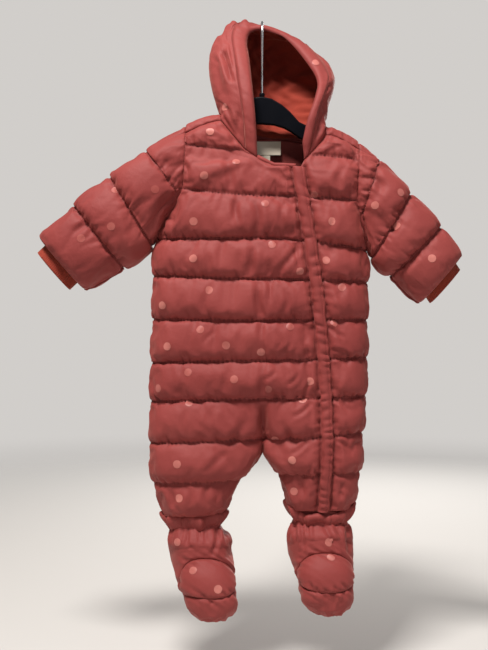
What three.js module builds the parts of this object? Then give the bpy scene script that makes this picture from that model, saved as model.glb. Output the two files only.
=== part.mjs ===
// A baby's quilted snowsuit with a hood, rib cuffs and booties, hanging on a child's clothes hanger.
// Millimetres, +Z up, the front faces -Y, and the wearer's right side is -X.
// The origin is the inside of the hook's top bend, where the hook rests on a rod.
import * as THREE from 'three';

// Cloth thicknesses
const HALF_CLOTH = 1.2; // half the thickness of the cloth where it is sewn flat
const LOFT = 8; // how far the wadding lifts the outer cloth between two quilting lines
const SEAM_GAP = 0.32; // clear width between two panels at a seam
const LAYER_GAP = 0.4; // clear height under a piece that lies on a panel
const LINING = 1.2; // thickness of an unpadded lining

// Pieces on the front
const ZIP_HALF_WIDTH = 3;
const FLAP_HALF_WIDTH = 9.5;
const FLAP_THICKNESS = 2.4;
const FLAP_PUCKERS = 34;
const PUCKER_HEIGHT = 0.8;

// Shoulders: the back panel rolls over the ridge to a seam that lies on the front
const RIDGE_RISE = 12;
const ARMHOLE_DEPTH = 30;

// Hanger
const HANGER_HALF_WIDTH = 111;
const HANGER_THICKNESS = 9;
const HANGER_TILT = THREE.MathUtils.degToRad(-2.45);
const SOCKET_TOP = -99;
const HOOK_WIRE_RADIUS = 1.7;
const HOOK_INNER_RADIUS = 20;

// The body, a row for each quilting line from the shoulder seam (0) to the ankle (10).
// right and left are the side seams, fork the edge of each leg (the centre above the crotch), front and back
// how far the cloth stands off the hanging plane, split how far the two legs are parted (0 to 1).
const BODY = [
  { at: 1.33, rightX: -108.6, rightZ: -197, forkRightX: 15.6, forkRightZ: -206.6, forkLeftX: 15.6, forkLeftZ: -206.6, leftX: 132.8, leftZ: -216, front: 32, back: 27, split: 0 },
  { at: 2, rightX: -112.2, rightZ: -237.6, forkRightX: 8.5, forkRightZ: -248.5, forkLeftX: 8.5, forkLeftZ: -248.5, leftX: 132.1, leftZ: -254.2, front: 36, back: 30, split: 0 },
  { at: 3, rightX: -147, rightZ: -306.7, forkRightX: 4.3, forkRightZ: -307.4, forkLeftX: 4.3, forkLeftZ: -307.4, leftX: 147.2, leftZ: -322, front: 38, back: 32, split: 0 },
  { at: 4, rightX: -152.5, rightZ: -357.8, forkRightX: 0, forkRightZ: -363.5, forkLeftX: 0, forkLeftZ: -363.5, leftX: 147.5, leftZ: -367, front: 38, back: 33, split: 0 },
  { at: 5, rightX: -152.8, rightZ: -418.9, forkRightX: -1.4, forkRightZ: -421, forkLeftX: -1.4, forkLeftZ: -421, leftX: 146.8, leftZ: -420, front: 38, back: 34, split: 0 },
  { at: 6, rightX: -154.6, rightZ: -480, forkRightX: -2.8, forkRightZ: -476.4, forkLeftX: -2.8, forkLeftZ: -476.4, leftX: 147.3, leftZ: -472.2, front: 38, back: 35, split: 0 },
  { at: 7, rightX: -156, rightZ: -534.6, forkRightX: 0, forkRightZ: -529.7, forkLeftX: 0, forkLeftZ: -529.7, leftX: 145.4, leftZ: -526.8, front: 37, back: 35, split: 0.1 },
  { at: 8, rightX: -156.7, rightZ: -592.9, forkRightX: 1.4, forkRightZ: -587, forkLeftX: 1.4, forkLeftZ: -587, leftX: 140.4, leftZ: -578, front: 36, back: 34, split: 0.85 },
  { at: 8.22, rightX: -156.8, rightZ: -603.5, forkRightX: 1.4, forkRightZ: -599, forkLeftX: 1.4, forkLeftZ: -599, leftX: 139.5, leftZ: -590.7, front: 35, back: 34, split: 1 },
  { at: 9, rightX: -152, rightZ: -648.9, forkRightX: -31.2, forkRightZ: -644.7, forkLeftX: 23.4, forkLeftZ: -636.2, leftX: 137, leftZ: -634, front: 33, back: 32, split: 1 },
  { at: 10, rightX: -134, rightZ: -697, forkRightX: -57.5, forkRightZ: -693, forkLeftX: 41.2, forkLeftZ: -687, leftX: 124.5, leftZ: -687, front: 24, back: 24, split: 1 },
];
// Above the neckline's lowest point the body is two straps, each from the armhole to the neckline
const FRONT_STRAPS = [
  { at: 0, rightX: -107.9, rightZ: -158.2, neckRightX: -58.2, neckRightZ: -140.4, neckLeftX: 89.5, neckLeftZ: -160.5, leftX: 136.3, leftZ: -181.8, depth: 17 },
  { at: 0.5, rightX: -107.6, rightZ: -166.5, neckRightX: -41.2, neckRightZ: -162.5, neckLeftX: 79.5, neckLeftZ: -174.5, leftX: 135, leftZ: -189.5, depth: 23 },
  { at: 1, rightX: -107.5, rightZ: -176, neckRightX: -24.1, neckRightZ: -184, neckLeftX: 65.5, neckLeftZ: -190.5, leftX: 134.5, leftZ: -198, depth: 28 },
  { at: 1.15, rightX: -108, rightZ: -185.5, neckRightX: -7.1, neckRightZ: -195, neckLeftX: 58, neckLeftZ: -198, leftX: 133.6, leftZ: -206, depth: 30 },
  { at: 1.33, rightX: -108.6, rightZ: -197, neckRightX: 15.6, neckRightZ: -206.6, neckLeftX: 15.6, neckLeftZ: -206.6, leftX: 132.8, leftZ: -216, depth: 32 },
];
const BACK_STRAPS = [
  { at: 0, neckRightX: -57, neckRightZ: -145, neckLeftX: 79, neckLeftZ: -158, depth: 17 },
  { at: 0.5, neckRightX: 15.6, neckRightZ: -160, neckLeftX: 15.6, neckLeftZ: -160, depth: 21 },
  { at: 1, neckRightX: 15.6, neckRightZ: -182, neckLeftX: 15.6, neckLeftZ: -182, depth: 25 },
  { at: 1.15, neckRightX: 15.6, neckRightZ: -190, neckLeftX: 15.6, neckLeftZ: -190, depth: 26 },
  { at: 1.33, neckRightX: 15.6, neckRightZ: -200, neckLeftX: 15.6, neckLeftZ: -200, depth: 27 },
];
const NECK_BOTTOM = 1.33;
const UNDERARM = 3;
const CROTCH = 8.22;
const HOOD_FRONT_END = 1.15;

// The rows of cloth: each quilting line and the two rows between it and the next
const UPPER_ROWS = [0, 0.5, 1, 1.075, 1.15, 1.33, 1.67, 2, 2.33, 2.67, 3];
const TRUNK_ROWS = [3.33, 3.67, 4, 4.33, 4.67, 5, 5.33, 5.67, 6, 6.33, 6.67, 7, 7.33, 7.67, 8];
const LEG_ROWS = [8.22, 8.6, 9, 9.33, 9.67, 10];
const ALL_ROWS = [...UPPER_ROWS, ...TRUNK_ROWS, ...LEG_ROWS];
const RIDGE_ROWS = [-1, -0.75, -0.5, -0.25];
const HALF_COLUMNS = 8;
const SIDE_COLUMNS = 4;

// The zip's line, from the neckline to the wearer's left ankle
const ZIP_LINE = [
  { z: -690, x: 85 },
  { z: -655, x: 87 },
  { z: -603, x: 90 },
  { z: -551, x: 89.2 },
  { z: -500, x: 86.6 },
  { z: -449, x: 82.6 },
  { z: -373, x: 75.3 },
  { z: -308, x: 64.9 },
  { z: -244, x: 55 },
  { z: -200, x: 47.5 },
];

// The sleeves, a row for each quilting line from the armhole (0) to the hem (4).
// top and bottom are the two edges seen from the front. The first line's bottom is where it runs into the
// armhole, at the angle below round the sleeve; from there to the underarm the two lie side by side.
const RIGHT_SLEEVE = [
  { at: 1, topX: -164, topZ: -182.5, bottomX: -118, bottomZ: -243, front: 34, back: 30 },
  { at: 2, topX: -215, topZ: -218.5, bottomX: -155.5, bottomZ: -314.5, front: 32, back: 29 },
  { at: 3, topX: -266, topZ: -258.5, bottomX: -197, bottomZ: -345, front: 30, back: 27 },
  { at: 4, topX: -314.5, topZ: -304, bottomX: -253.5, bottomZ: -375, front: 23, back: 21 },
];
const LEFT_SLEEVE = [
  { at: 1, topX: 164.5, topZ: -194.5, bottomX: 139, bottomZ: -271, front: 34, back: 30 },
  { at: 2, topX: 208.5, topZ: -241.5, bottomX: 155, bottomZ: -332, front: 32, back: 29 },
  { at: 3, topX: 252, topZ: -288.5, bottomX: 183, bottomZ: -357, front: 30, back: 27 },
  { at: 4, topX: 281, topZ: -330, bottomX: 225, bottomZ: -394.5, front: 23, back: 21 },
];
const RIGHT_FIRST_LINE_END = THREE.MathUtils.degToRad(126);
const LEFT_FIRST_LINE_END = THREE.MathUtils.degToRad(137);
const SLEEVE_ROWS = [1 / 3, 2 / 3, 1, 4 / 3, 5 / 3, 2, 7 / 3, 8 / 3, 3, 10 / 3, 11 / 3, 4];
const FIRST_CHANNEL_LEAST = 5; // below the arm the first quilting line meets the armhole
const UNDERARM_PRESSED = 0.75; // how much flatter the cloth is in the fold under the arm
const MITT_FROM = 3; // the fold-over mitt lies on the back of the sleeve's last quilted channel
const MITT_THICKNESS = 3;

// The rib cuffs, as a share of the sleeve's own section, from inside the sleeve (3.5) to their open end
const CUFF = [
  { at: 3.5, width: 0.93, depth: 0.86 },
  { at: 3.72, width: 0.8, depth: 0.76 },
  { at: 3.95, width: 0.73, depth: 0.7 },
  { at: 4.24, width: 0.72, depth: 0.72 },
];
const CUFF_COLUMNS = 16;

// The hood, a row for each rib from the neckline (0) to the top (7).
// front is on the face opening's edge, side where the hood is widest, seam on the centre seam behind.
const HOOD_RIGHT = [
  { at: 1, frontX: -8, frontY: -35, frontZ: -166, sideX: -61, sideY: 7, sideZ: -108 },
  { at: 2, frontX: -10.5, frontY: -36, frontZ: -130, sideX: -66, sideY: 16, sideZ: -84 },
  { at: 3, frontX: -14, frontY: -27, frontZ: -92, sideX: -70, sideY: 24, sideZ: -57 },
  { at: 4, frontX: -18, frontY: -9, frontZ: -52, sideX: -69, sideY: 31, sideZ: -30 },
  { at: 5, frontX: -21, frontY: 12, frontZ: -21, sideX: -57, sideY: 37, sideZ: -4 },
  { at: 6, frontX: -14, frontY: 24, frontZ: -3, sideX: -39, sideY: 41, sideZ: 13 },
  { at: 7, frontX: 4, frontY: 27, frontZ: 0, sideX: -16, sideY: 46, sideZ: 17 },
];
const HOOD_LEFT = [
  { at: 1, frontX: 55, frontY: -35, frontZ: -174, sideX: 88.5, sideY: 7, sideZ: -129 },
  { at: 2, frontX: 62, frontY: -36, frontZ: -143, sideX: 92, sideY: 16, sideZ: -108 },
  { at: 3, frontX: 73, frontY: -27, frontZ: -110, sideX: 98, sideY: 24, sideZ: -86 },
  { at: 4, frontX: 77, frontY: -11, frontZ: -82, sideX: 99, sideY: 31, sideZ: -66 },
  { at: 5, frontX: 61, frontY: 8, frontZ: -48, sideX: 84, sideY: 37, sideZ: -40 },
  { at: 6, frontX: 33, frontY: 24, frontZ: -11, sideX: 44, sideY: 41, sideZ: -7 },
  { at: 7, frontX: 4, frontY: 27, frontZ: 0, sideX: -16, sideY: 46, sideZ: 17 },
];
const HOOD_SEAM = [
  { at: 1, x: 12, y: 46, z: -142 },
  { at: 2, x: 8, y: 64, z: -120 },
  { at: 3, x: 4, y: 76, z: -92 },
  { at: 4, x: 0, y: 82, z: -60 },
  { at: 5, x: -4, y: 82, z: -30 },
  { at: 6, x: -10, y: 78, z: -4 },
  { at: 7, x: -16, y: 70, z: 10 },
];
const HOOD_TOP = 7;
const HOOD_ROWS_PER_RIB = 2;
const HOOD_BAND_WIDTH = 25;
const HOOD_LOFT = 3;

// The booties, a row for each ring from the top edge, tucked into the leg (0), to the toe (7).
// outer and inner are the sides seen from the front; front and back lie on the instep and the sole.
const RIGHT_BOOTIE = [
  { at: 0, outerX: -126.5, innerX: -62, frontY: -18, frontZ: -692, backY: 18, backZ: -692 },
  { at: 1, outerX: -127.5, innerX: -58.5, frontY: -21, frontZ: -713, backY: 21, backZ: -713 },
  { at: 2, outerX: -129.5, innerX: -47.5, frontY: -31, frontZ: -729.5, backY: 32, backZ: -738 },
  { at: 3, outerX: -126, innerX: -45, frontY: -32, frontZ: -737, backY: 38, backZ: -774 },
  { at: 4, outerX: -119.5, innerX: -42, frontY: -37, frontZ: -750, backY: 16, backZ: -797 },
  { at: 5, outerX: -112, innerX: -38.5, frontY: -52, frontZ: -773, backY: -4, backZ: -817 },
  { at: 6, outerX: -100, innerX: -39.5, frontY: -60, frontZ: -798, backY: -24, backZ: -830 },
  { at: 7, outerX: -85, innerX: -54, frontY: -56, frontZ: -821, backY: -42, backZ: -834 },
];
const LEFT_BOOTIE = [
  { at: 0, outerX: 117.5, innerX: 47.5, frontY: -18, frontZ: -686, backY: 18, backZ: -686 },
  { at: 1, outerX: 121.2, innerX: 43.4, frontY: -21, frontZ: -708, backY: 21, backZ: -708 },
  { at: 2, outerX: 123, innerX: 39, frontY: -31, frontZ: -720, backY: 32, backZ: -732 },
  { at: 3, outerX: 124.5, innerX: 41, frontY: -32, frontZ: -727, backY: 38, backZ: -766 },
  { at: 4, outerX: 124.5, innerX: 48, frontY: -38, frontZ: -742, backY: 17, backZ: -788 },
  { at: 5, outerX: 124, innerX: 51.5, frontY: -53, frontZ: -764, backY: -3, backZ: -808 },
  { at: 6, outerX: 119.5, innerX: 59.5, frontY: -61, frontZ: -790, backY: -23, backZ: -822 },
  { at: 7, outerX: 108, innerX: 75, frontY: -56, frontZ: -813, backY: -42, backZ: -826 },
];
const HEEL_RING = 3;
const CAP_RING = 4;
const CAP_REACH = 2; // how many rings the toe cap reaches down at its middle
const CAP_SEAM_DROP = { // how many rings lower the toe cap's upper seam ends at the sides of the foot
  right: { outer: 1, inner: 0.3 },
  left: { outer: 0.55, inner: 0.6 },
};
const TOE_TIP = 8;
const CAP_HALF_ANGLE = THREE.MathUtils.degToRad(84);
const CAP_END_SHARE = 0.985;
const SOLE_HALF_ANGLE = THREE.MathUtils.degToRad(128); // measured from the instep to the edge of the sole
const BOOTIE_LOFT = 4;

// The frill that covers each ankle elastic
// rise is over the leg's end, higher at the sides than in front, and out is clear of it.
const FRILL = [
  { at: 0, riseSide: 5, riseFront: -1, out: 6.2, wave: 0.5 },
  { at: 0.5, riseSide: -4, riseFront: -8, out: 4.4, wave: 1 },
  { at: 1, riseSide: -14, riseFront: -19, out: 0.8, wave: 1.2 },
];
const FRILL_WAVES = 9;
const FRILL_THICKNESS = 1.6;
const FRILL_COLUMNS = 36;

// Labels at the back of the neck, sewn under the hood's seam
const MAIN_LABEL = { x: 6, z: -173, width: 43, height: 20 };
const SIZE_LABEL = { x: 6, z: -189.8, width: 12, height: 13 };
const LABEL_THICKNESS = 0.8;

function clothMaterial(name, colour, roughness) {
  return new THREE.MeshStandardMaterial({ name, color: colour, roughness, metalness: 0 });
}
const SHELL_CLOTH = clothMaterial('shell', 0xa84b4b, 0.62);
const HOOD_LINING = clothMaterial('lining', 0xa33a2e, 0.9);
const RIB_KNIT = clothMaterial('rib', 0x8a2d22, 0.95);
const WOVEN_LABEL = clothMaterial('label', 0xd9cbb4, 0.8);
const DARK_PLASTIC = new THREE.MeshStandardMaterial({ name: 'hanger', color: 0x0b0e1a, roughness: 0.45, metalness: 0 });
const STEEL = new THREE.MeshStandardMaterial({ name: 'steel', color: 0xb9b9bb, roughness: 0.3, metalness: 1 });

// One column of a table, as a smooth function of its first column
function column(table, name, along = 'at') {
  const places = Float32Array.from(table, (row) => row[along]);
  const values = Float32Array.from(table, (row) => row[name]);
  const curve = new THREE.CubicInterpolant(places, values, 1);
  const first = places[0];
  const last = places[places.length - 1];
  return (place) => curve.evaluate(THREE.MathUtils.clamp(place, first, last))[0];
}

// The same with straight lines between the rows
function straightColumn(table, name) {
  return (place) => {
    const next = Math.max(1, table.findIndex((row) => row.at >= place - 1e-9));
    const low = table[next - 1];
    const high = table[next];
    return THREE.MathUtils.mapLinear(place, low.at, high.at, low[name], high[name]);
  };
}

function columns(table, reader = column) {
  const names = Object.keys(table[0]).filter((name) => name !== 'at');
  return Object.fromEntries(names.map((name) => [name, reader(table, name)]));
}

const body = columns(BODY);
const frontStraps = columns(FRONT_STRAPS, straightColumn);
const backStraps = columns(BACK_STRAPS, straightColumn);
const zipX = column(ZIP_LINE, 'x', 'z');

// Cloth is a surface of shared points. Each panel is a set of its triangles, and panels that are sewn
// together share the points of their seam, so that both walls are cut square to one line.
class Cloth {
  constructor() {
    this.places = [];
    this.lofts = [];
    this.normals = [];
    this.byPlace = new Map();
    this.panels = new Map();
  }

  pointAt(place, loft) {
    const key = place.toArray().map((n) => Math.round(n * 200)).join();
    if (!this.byPlace.has(key)) {
      this.byPlace.set(key, this.places.length);
      this.places.push(place.clone());
      this.lofts.push(loft);
      this.normals.push(new THREE.Vector3());
    }
    const index = this.byPlace.get(key);
    this.lofts[index] = Math.min(this.lofts[index], loft);
    return index;
  }

  // Adds a grid of points to a panel. Rows run down and columns to the left, as seen from outside.
  grid(panel, rows, cols, placeAt, loftAt = () => 0) {
    const ids = rows.map((row) => cols.map((col) => this.pointAt(placeAt(row, col), loftAt(row, col))));
    if (!this.panels.has(panel)) this.panels.set(panel, []);
    const triangles = this.panels.get(panel);
    for (let i = 0; i + 1 < rows.length; i++) {
      for (let j = 0; j + 1 < cols.length; j++) {
        const [a, b, c, d] = [ids[i][j], ids[i + 1][j], ids[i + 1][j + 1], ids[i][j + 1]];
        for (const triangle of [[a, b, c], [a, c, d]]) {
          if (new Set(triangle).size === 3) triangles.push(triangle);
        }
      }
    }
  }

  // Joins two lines of points of a panel, of which one may have more points than the other
  join(panel, upper, lower) {
    const ids = [upper, lower].map((line) => line.map(({ place, loft }) => this.pointAt(place, loft)));
    const triangles = this.panels.get(panel);
    let [i, j] = [0, 0];
    while (i + 1 < upper.length || j + 1 < lower.length) {
      const onUpper = (i + 1) / (upper.length - 1) <= (j + 1) / (lower.length - 1);
      if (i + 1 < upper.length && (onUpper || j + 1 === lower.length)) {
        triangles.push([ids[0][i], ids[1][j], ids[0][i + 1]]);
        i += 1;
      } else {
        triangles.push([ids[0][i], ids[1][j], ids[1][j + 1]]);
        j += 1;
      }
    }
  }

  // The direction out of the cloth at each point, halfway between the panels that meet there
  settleNormals() {
    for (const triangles of this.panels.values()) {
      for (const triangle of triangles) {
        const corners = triangle.map((id) => this.places[id]);
        const facing = new THREE.Triangle(...corners).getNormal(new THREE.Vector3());
        triangle.forEach((id, i) => {
          const onwards = corners[(i + 1) % 3].clone().sub(corners[i]);
          const backwards = corners[(i + 2) % 3].clone().sub(corners[i]);
          this.normals[id].addScaledVector(facing, onwards.angleTo(backwards));
        });
      }
    }
    this.normals.forEach((normal) => normal.normalize());
  }

  // How far each point of a panel's edge is drawn in, so that a seam is left open
  drawIn(triangles, edges) {
    const middles = new Map();
    for (const triangle of triangles) {
      const middle = new THREE.Vector3();
      triangle.forEach((id) => middle.addScaledVector(this.places[id], 1 / 3));
      for (const id of triangle) {
        if (!middles.has(id)) middles.set(id, []);
        middles.get(id).push(middle);
      }
    }
    const ends = new Map();
    for (const [a, b] of edges) {
      const run = new THREE.Vector3().subVectors(this.places[b], this.places[a]).normalize();
      for (const id of [a, b]) {
        if (!ends.has(id)) ends.set(id, new THREE.Vector3());
        ends.get(id).add(run);
      }
    }
    const drawn = new Map();
    for (const [id, run] of ends) {
      const inward = new THREE.Vector3();
      middles.get(id).forEach((middle) => inward.add(middle).sub(this.places[id]));
      run.normalize();
      inward.addScaledVector(run, -inward.dot(run));
      inward.addScaledVector(this.normals[id], -inward.dot(this.normals[id]));
      drawn.set(id, inward.setLength(SEAM_GAP / 2));
    }
    return drawn;
  }

  // A closed wall over some panels. outer and inner give each point's height over the middle of the cloth.
  wall(name, panels, outer, inner, material) {
    const triangles = panels.flatMap((panel) => this.panels.get(panel));
    const once = new Map();
    for (const [a, b, c] of triangles) {
      for (const [from, to] of [[a, b], [b, c], [c, a]]) {
        if (!once.delete(`${to},${from}`)) once.set(`${from},${to}`, [from, to]);
      }
    }
    const edges = [...once.values()];
    const drawn = this.drawIn(triangles, edges);
    const ids = [...new Set(triangles.flat())];
    const order = new Map(ids.map((id, index) => [id, index]));
    const positions = [];
    for (const heightOf of [outer, inner]) {
      for (const id of ids) {
        const point = this.places[id].clone();
        if (drawn.has(id)) point.add(drawn.get(id));
        point.addScaledVector(this.normals[id], heightOf(this.lofts[id], point));
        positions.push(...point.toArray());
      }
    }
    const under = (id) => order.get(id) + ids.length;
    const index = [];
    for (const [a, b, c] of triangles) {
      index.push(order.get(a), order.get(b), order.get(c));
      index.push(under(a), under(c), under(b));
    }
    // panels that share a seam split its twisted sides along the same diagonals
    for (const [a, b] of edges) {
      const [upA, upB, lowA, lowB] = [order.get(a), order.get(b), under(a), under(b)];
      if (a < b) index.push(upB, upA, lowB, upA, lowA, lowB);
      else index.push(upB, upA, lowA, upB, lowA, lowB);
    }
    const geometry = new THREE.BufferGeometry();
    geometry.setAttribute('position', new THREE.Float32BufferAttribute(positions, 3));
    geometry.setIndex(index);
    const mesh = new THREE.Mesh(geometry, material);
    mesh.name = name;
    return mesh;
  }
}

const onTop = (loft) => HALF_CLOTH + loft;
const onUnderside = () => -HALF_CLOTH;

function steps(from, to, count) {
  return Array.from({ length: count + 1 }, (_, i) => THREE.MathUtils.lerp(from, to, i / count));
}

// The share of the way from the side seam to the centre, and the height of the cloth there, both 0 to 1.
// A trunk half is a quarter oval, and a leg a half oval.
function sectionAt(across, split) {
  const trunkWay = 1 - Math.cos((Math.PI / 2) * across);
  const legWay = (1 - Math.cos(Math.PI * across)) / 2;
  const trunkHeight = Math.sin((Math.PI / 2) * across) ** 0.75;
  const legHeight = Math.abs(Math.sin(Math.PI * Math.min(across, 1))) ** 0.75;
  return {
    way: THREE.MathUtils.lerp(trunkWay, legWay, split),
    height: THREE.MathUtils.lerp(trunkHeight, across >= 1 ? 0 : legHeight, split),
  };
}

// How far the armhole's edge stands off the hanging plane
function armholeDepth(row) {
  if (row >= UNDERARM) return 0;
  return ARMHOLE_DEPTH * Math.sin((Math.PI * (row + 0.35)) / (UNDERARM + 0.35)) ** 0.7;
}

// A point of the body. face is -1 in front and 1 behind, side 'right' or 'left', across 0 at the side
// seam or armhole and 1 at the centre, the neckline or the inside leg.
function bodyPoint(row, side, across, face) {
  const sideX = `${side}X`;
  const sideZ = `${side}Z`;
  const middle = side === 'right' ? 'Right' : 'Left';
  if (row < 0) return ridgePoint(row, side, across);
  let edge;
  let inner;
  let depth;
  if (row <= NECK_BOTTOM) {
    const straps = face < 0 ? frontStraps : backStraps;
    edge = [frontStraps[sideX](row), frontStraps[sideZ](row)];
    inner = [straps[`neck${middle}X`](row), straps[`neck${middle}Z`](row)];
    depth = straps.depth(row);
  } else {
    edge = [body[sideX](row), body[sideZ](row)];
    inner = [body[`fork${middle}X`](row), body[`fork${middle}Z`](row)];
    depth = face < 0 ? body.front(row) : body.back(row);
  }
  const split = row <= NECK_BOTTOM ? 0 : THREE.MathUtils.clamp(body.split(row), 0, 1);
  const { way, height } = sectionAt(across, row < 6.5 ? 0 : split);
  const seam = armholeDepth(row);
  const x = THREE.MathUtils.lerp(edge[0], inner[0], way);
  const z = inner[1] + (edge[1] - inner[1]) * (1 - way) ** 1.5;
  return new THREE.Vector3(x, face * (seam + (depth - seam) * height), z);
}

// The roll over the shoulder: from the front seam (-1) over the ridge (-0.5) to the back (0)
function ridgePoint(row, side, across) {
  const turn = Math.PI * (row + 1);
  const front = bodyPoint(0, side, across, -1);
  const back = bodyPoint(0, side, across, 1);
  const share = (1 - Math.cos(turn)) / 2;
  const point = front.clone().lerp(back, share);
  point.z += RIDGE_RISE * Math.sin(turn);
  return point;
}

// The place between side seam and centre where the body has a given x
function acrossAt(row, side, x) {
  let low = 0;
  let high = 1;
  for (let i = 0; i < 40; i++) {
    const middle = (low + high) / 2;
    const past = bodyPoint(row, side, middle, -1).x > x === (side === 'left');
    if (past) low = middle;
    else high = middle;
  }
  return low;
}

// The zip's line at a row, moved sideways by an offset
function zipAcross(row, offset) {
  const first = bodyPoint(row, 'left', 0.6, -1);
  return acrossAt(row, 'left', zipX(first.z) + offset);
}

// The wadding's height between two quilting lines
function channelLoft(row) {
  const share = row - Math.floor(row + 1e-6);
  return LOFT * Math.max(0, Math.sin(Math.PI * share)) ** 0.65;
}

// Wadding thins out towards a seam
function bodyLoft(row, side, across) {
  if (row <= 0 || row >= 10) return 0;
  const point = bodyPoint(row, side, across, -1);
  const fromSide = Math.abs(point.x - bodyPoint(row, side, 0, -1).x);
  let thin = row < UNDERARM ? 0.1 : 0.4;
  thin += (1 - thin) * THREE.MathUtils.smoothstep(fromSide, 0, 24);
  if (side === 'left' && row >= NECK_BOTTOM) {
    const fromZip = Math.abs(point.x - zipX(point.z));
    thin *= 0.1 + 0.9 * THREE.MathUtils.smoothstep(fromZip, ZIP_HALF_WIDTH, 26);
  }
  if (row > 7 || row < NECK_BOTTOM + 0.01) {
    const fromFork = Math.abs(point.x - bodyPoint(row, side, 1, -1).x);
    const parted = row > 7 ? THREE.MathUtils.clamp(body.split(row), 0, 1) : 1;
    thin *= 1 - 0.65 * parted * (1 - THREE.MathUtils.smoothstep(fromFork, 0, 20));
  }
  return channelLoft(row) * thin;
}

const backLoft = (row, side, across) => {
  if (row <= 0) return 0;
  const point = bodyPoint(row, side, across, 1);
  const fromSide = Math.abs(point.x - bodyPoint(row, side, 0, 1).x);
  const edge = row < UNDERARM ? 0.1 : 0.4;
  let thin = edge + (1 - edge) * THREE.MathUtils.smoothstep(fromSide, 0, 24);
  if (row > 7) {
    const fromFork = Math.abs(point.x - bodyPoint(row, side, 1, 1).x);
    const parted = THREE.MathUtils.clamp(body.split(row), 0, 1);
    thin *= 1 - 0.65 * parted * (1 - THREE.MathUtils.smoothstep(fromFork, 0, 20));
  }
  return row >= 10 ? 0 : channelLoft(row) * thin;
};

const suit = new Cloth();
const FROM_NECK = ALL_ROWS.filter((row) => row >= NECK_BOTTOM);

// Front, main panel: the right half, the centre and the inner half of the left leg, up to the zip
function layFrontMain() {
  const place = (side) => (row, across) => bodyPoint(row, side, across, -1);
  const loft = (side) => (row, across) => bodyLoft(row, side, across);
  suit.grid('front_main', ALL_ROWS, steps(0, 1, HALF_COLUMNS), place('right'), loft('right'));
  const towardsZip = (row, share) => THREE.MathUtils.lerp(1, zipAcross(row, -FLAP_HALF_WIDTH), share);
  suit.grid('front_main', FROM_NECK, steps(0, 1, 4),
    (row, share) => place('left')(row, towardsZip(row, share)),
    (row, share) => loft('left')(row, towardsZip(row, share)));
}

// The strips under the flap: the main panel's edge, the zip and the side panel's edge
function layZipStrips() {
  const strips = [
    { panel: 'front_main_edge', offsets: [-FLAP_HALF_WIDTH, -ZIP_HALF_WIDTH] },
    { panel: 'zip', offsets: [-ZIP_HALF_WIDTH, ZIP_HALF_WIDTH] },
    { panel: 'front_side_edge', offsets: [ZIP_HALF_WIDTH, FLAP_HALF_WIDTH] },
  ];
  for (const { panel, offsets } of strips) {
    suit.grid(panel, FROM_NECK, offsets,
      (row, offset) => bodyPoint(row, 'left', zipAcross(row, offset), -1),
      (row, offset) => bodyLoft(row, 'left', zipAcross(row, offset)));
  }
}

// Front, side panel: from the zip to the left side seam, with the left shoulder strap
function layFrontSide() {
  const across = (row, share) => {
    const start = row < NECK_BOTTOM ? 1 : zipAcross(row, FLAP_HALF_WIDTH);
    return THREE.MathUtils.lerp(start, 0, share);
  };
  const place = (row, share) => bodyPoint(row, 'left', across(row, share), -1);
  const loft = (row, share) => bodyLoft(row, 'left', across(row, share));
  const strapCols = steps(0, 1, HALF_COLUMNS);
  const sideCols = steps(0, 1, SIDE_COLUMNS);
  suit.grid('front_side', ALL_ROWS.filter((row) => row < NECK_BOTTOM), strapCols, place, loft);
  suit.grid('front_side', FROM_NECK, sideCols, place, loft);
  const line = (row, cols) => cols.map((share) => ({ place: place(row, share), loft: loft(row, share) }));
  suit.join('front_side', line(HOOD_FRONT_END, strapCols), line(NECK_BOTTOM, sideCols));
}

// The gusset of cloth beside the zip's top end, under the hood's left corner
function layZipTop() {
  const corner = bodyPoint(HOOD_FRONT_END, 'left', 1, -1);
  const edge = (offset) => bodyPoint(NECK_BOTTOM, 'left', zipAcross(NECK_BOTTOM, offset), -1);
  const points = [[corner, corner], [edge(ZIP_HALF_WIDTH), edge(FLAP_HALF_WIDTH)]];
  suit.grid('front_side_edge', [0, 1], [0, 1], (row, col) => points[row][col]);
}

// Back panel, with the roll over each shoulder. Its piece under the neckline carries the facing.
function layBack() {
  const rows = [...RIDGE_ROWS, ...ALL_ROWS];
  const cols = steps(0, 1, HALF_COLUMNS);
  const facingCols = cols.slice(-3);
  const facingRows = UPPER_ROWS.filter((row) => row >= 0.5 && row <= NECK_BOTTOM);
  for (const side of ['right', 'left']) {
    const inOrder = (list) => (side === 'left' ? list : [...list].reverse());
    const lay = (panel, someRows, someCols) => suit.grid(panel, someRows, inOrder(someCols),
      (row, across) => bodyPoint(row, side, across, 1),
      (row, across) => backLoft(row, side, across));
    lay('back', rows.filter((row) => row <= 0.5), cols);
    lay('back', facingRows, cols.slice(0, -2));
    lay('back_neck', facingRows, facingCols);
    lay('back', rows.filter((row) => row >= NECK_BOTTOM), cols);
  }
}

// The angle round a sleeve for a point of the armhole: 0 at the shoulder, pi at the underarm
const armholeAngle = (row) => (Math.PI * (row + 0.35)) / (UNDERARM + 0.35);
const ridgeAngle = (row) => armholeAngle(0) * (-1 - 2 * row);

// The armhole's points in order: down the front, up the back and over the shoulder
function armholeLoop(side) {
  const front = UPPER_ROWS.map((row) => ({ row, face: -1, angle: armholeAngle(row) }));
  const behind = UPPER_ROWS.slice(0, -1).reverse().map((row) => ({ row, face: 1, angle: -armholeAngle(row) }));
  const ridge = [...RIDGE_ROWS].reverse().map((row) => ({ row, face: 1, angle: ridgeAngle(row) }));
  return [...front, ...behind, ...ridge].map((spot) => ({
    ...spot,
    place: bodyPoint(spot.row, side, 0, spot.face),
  }));
}

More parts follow.
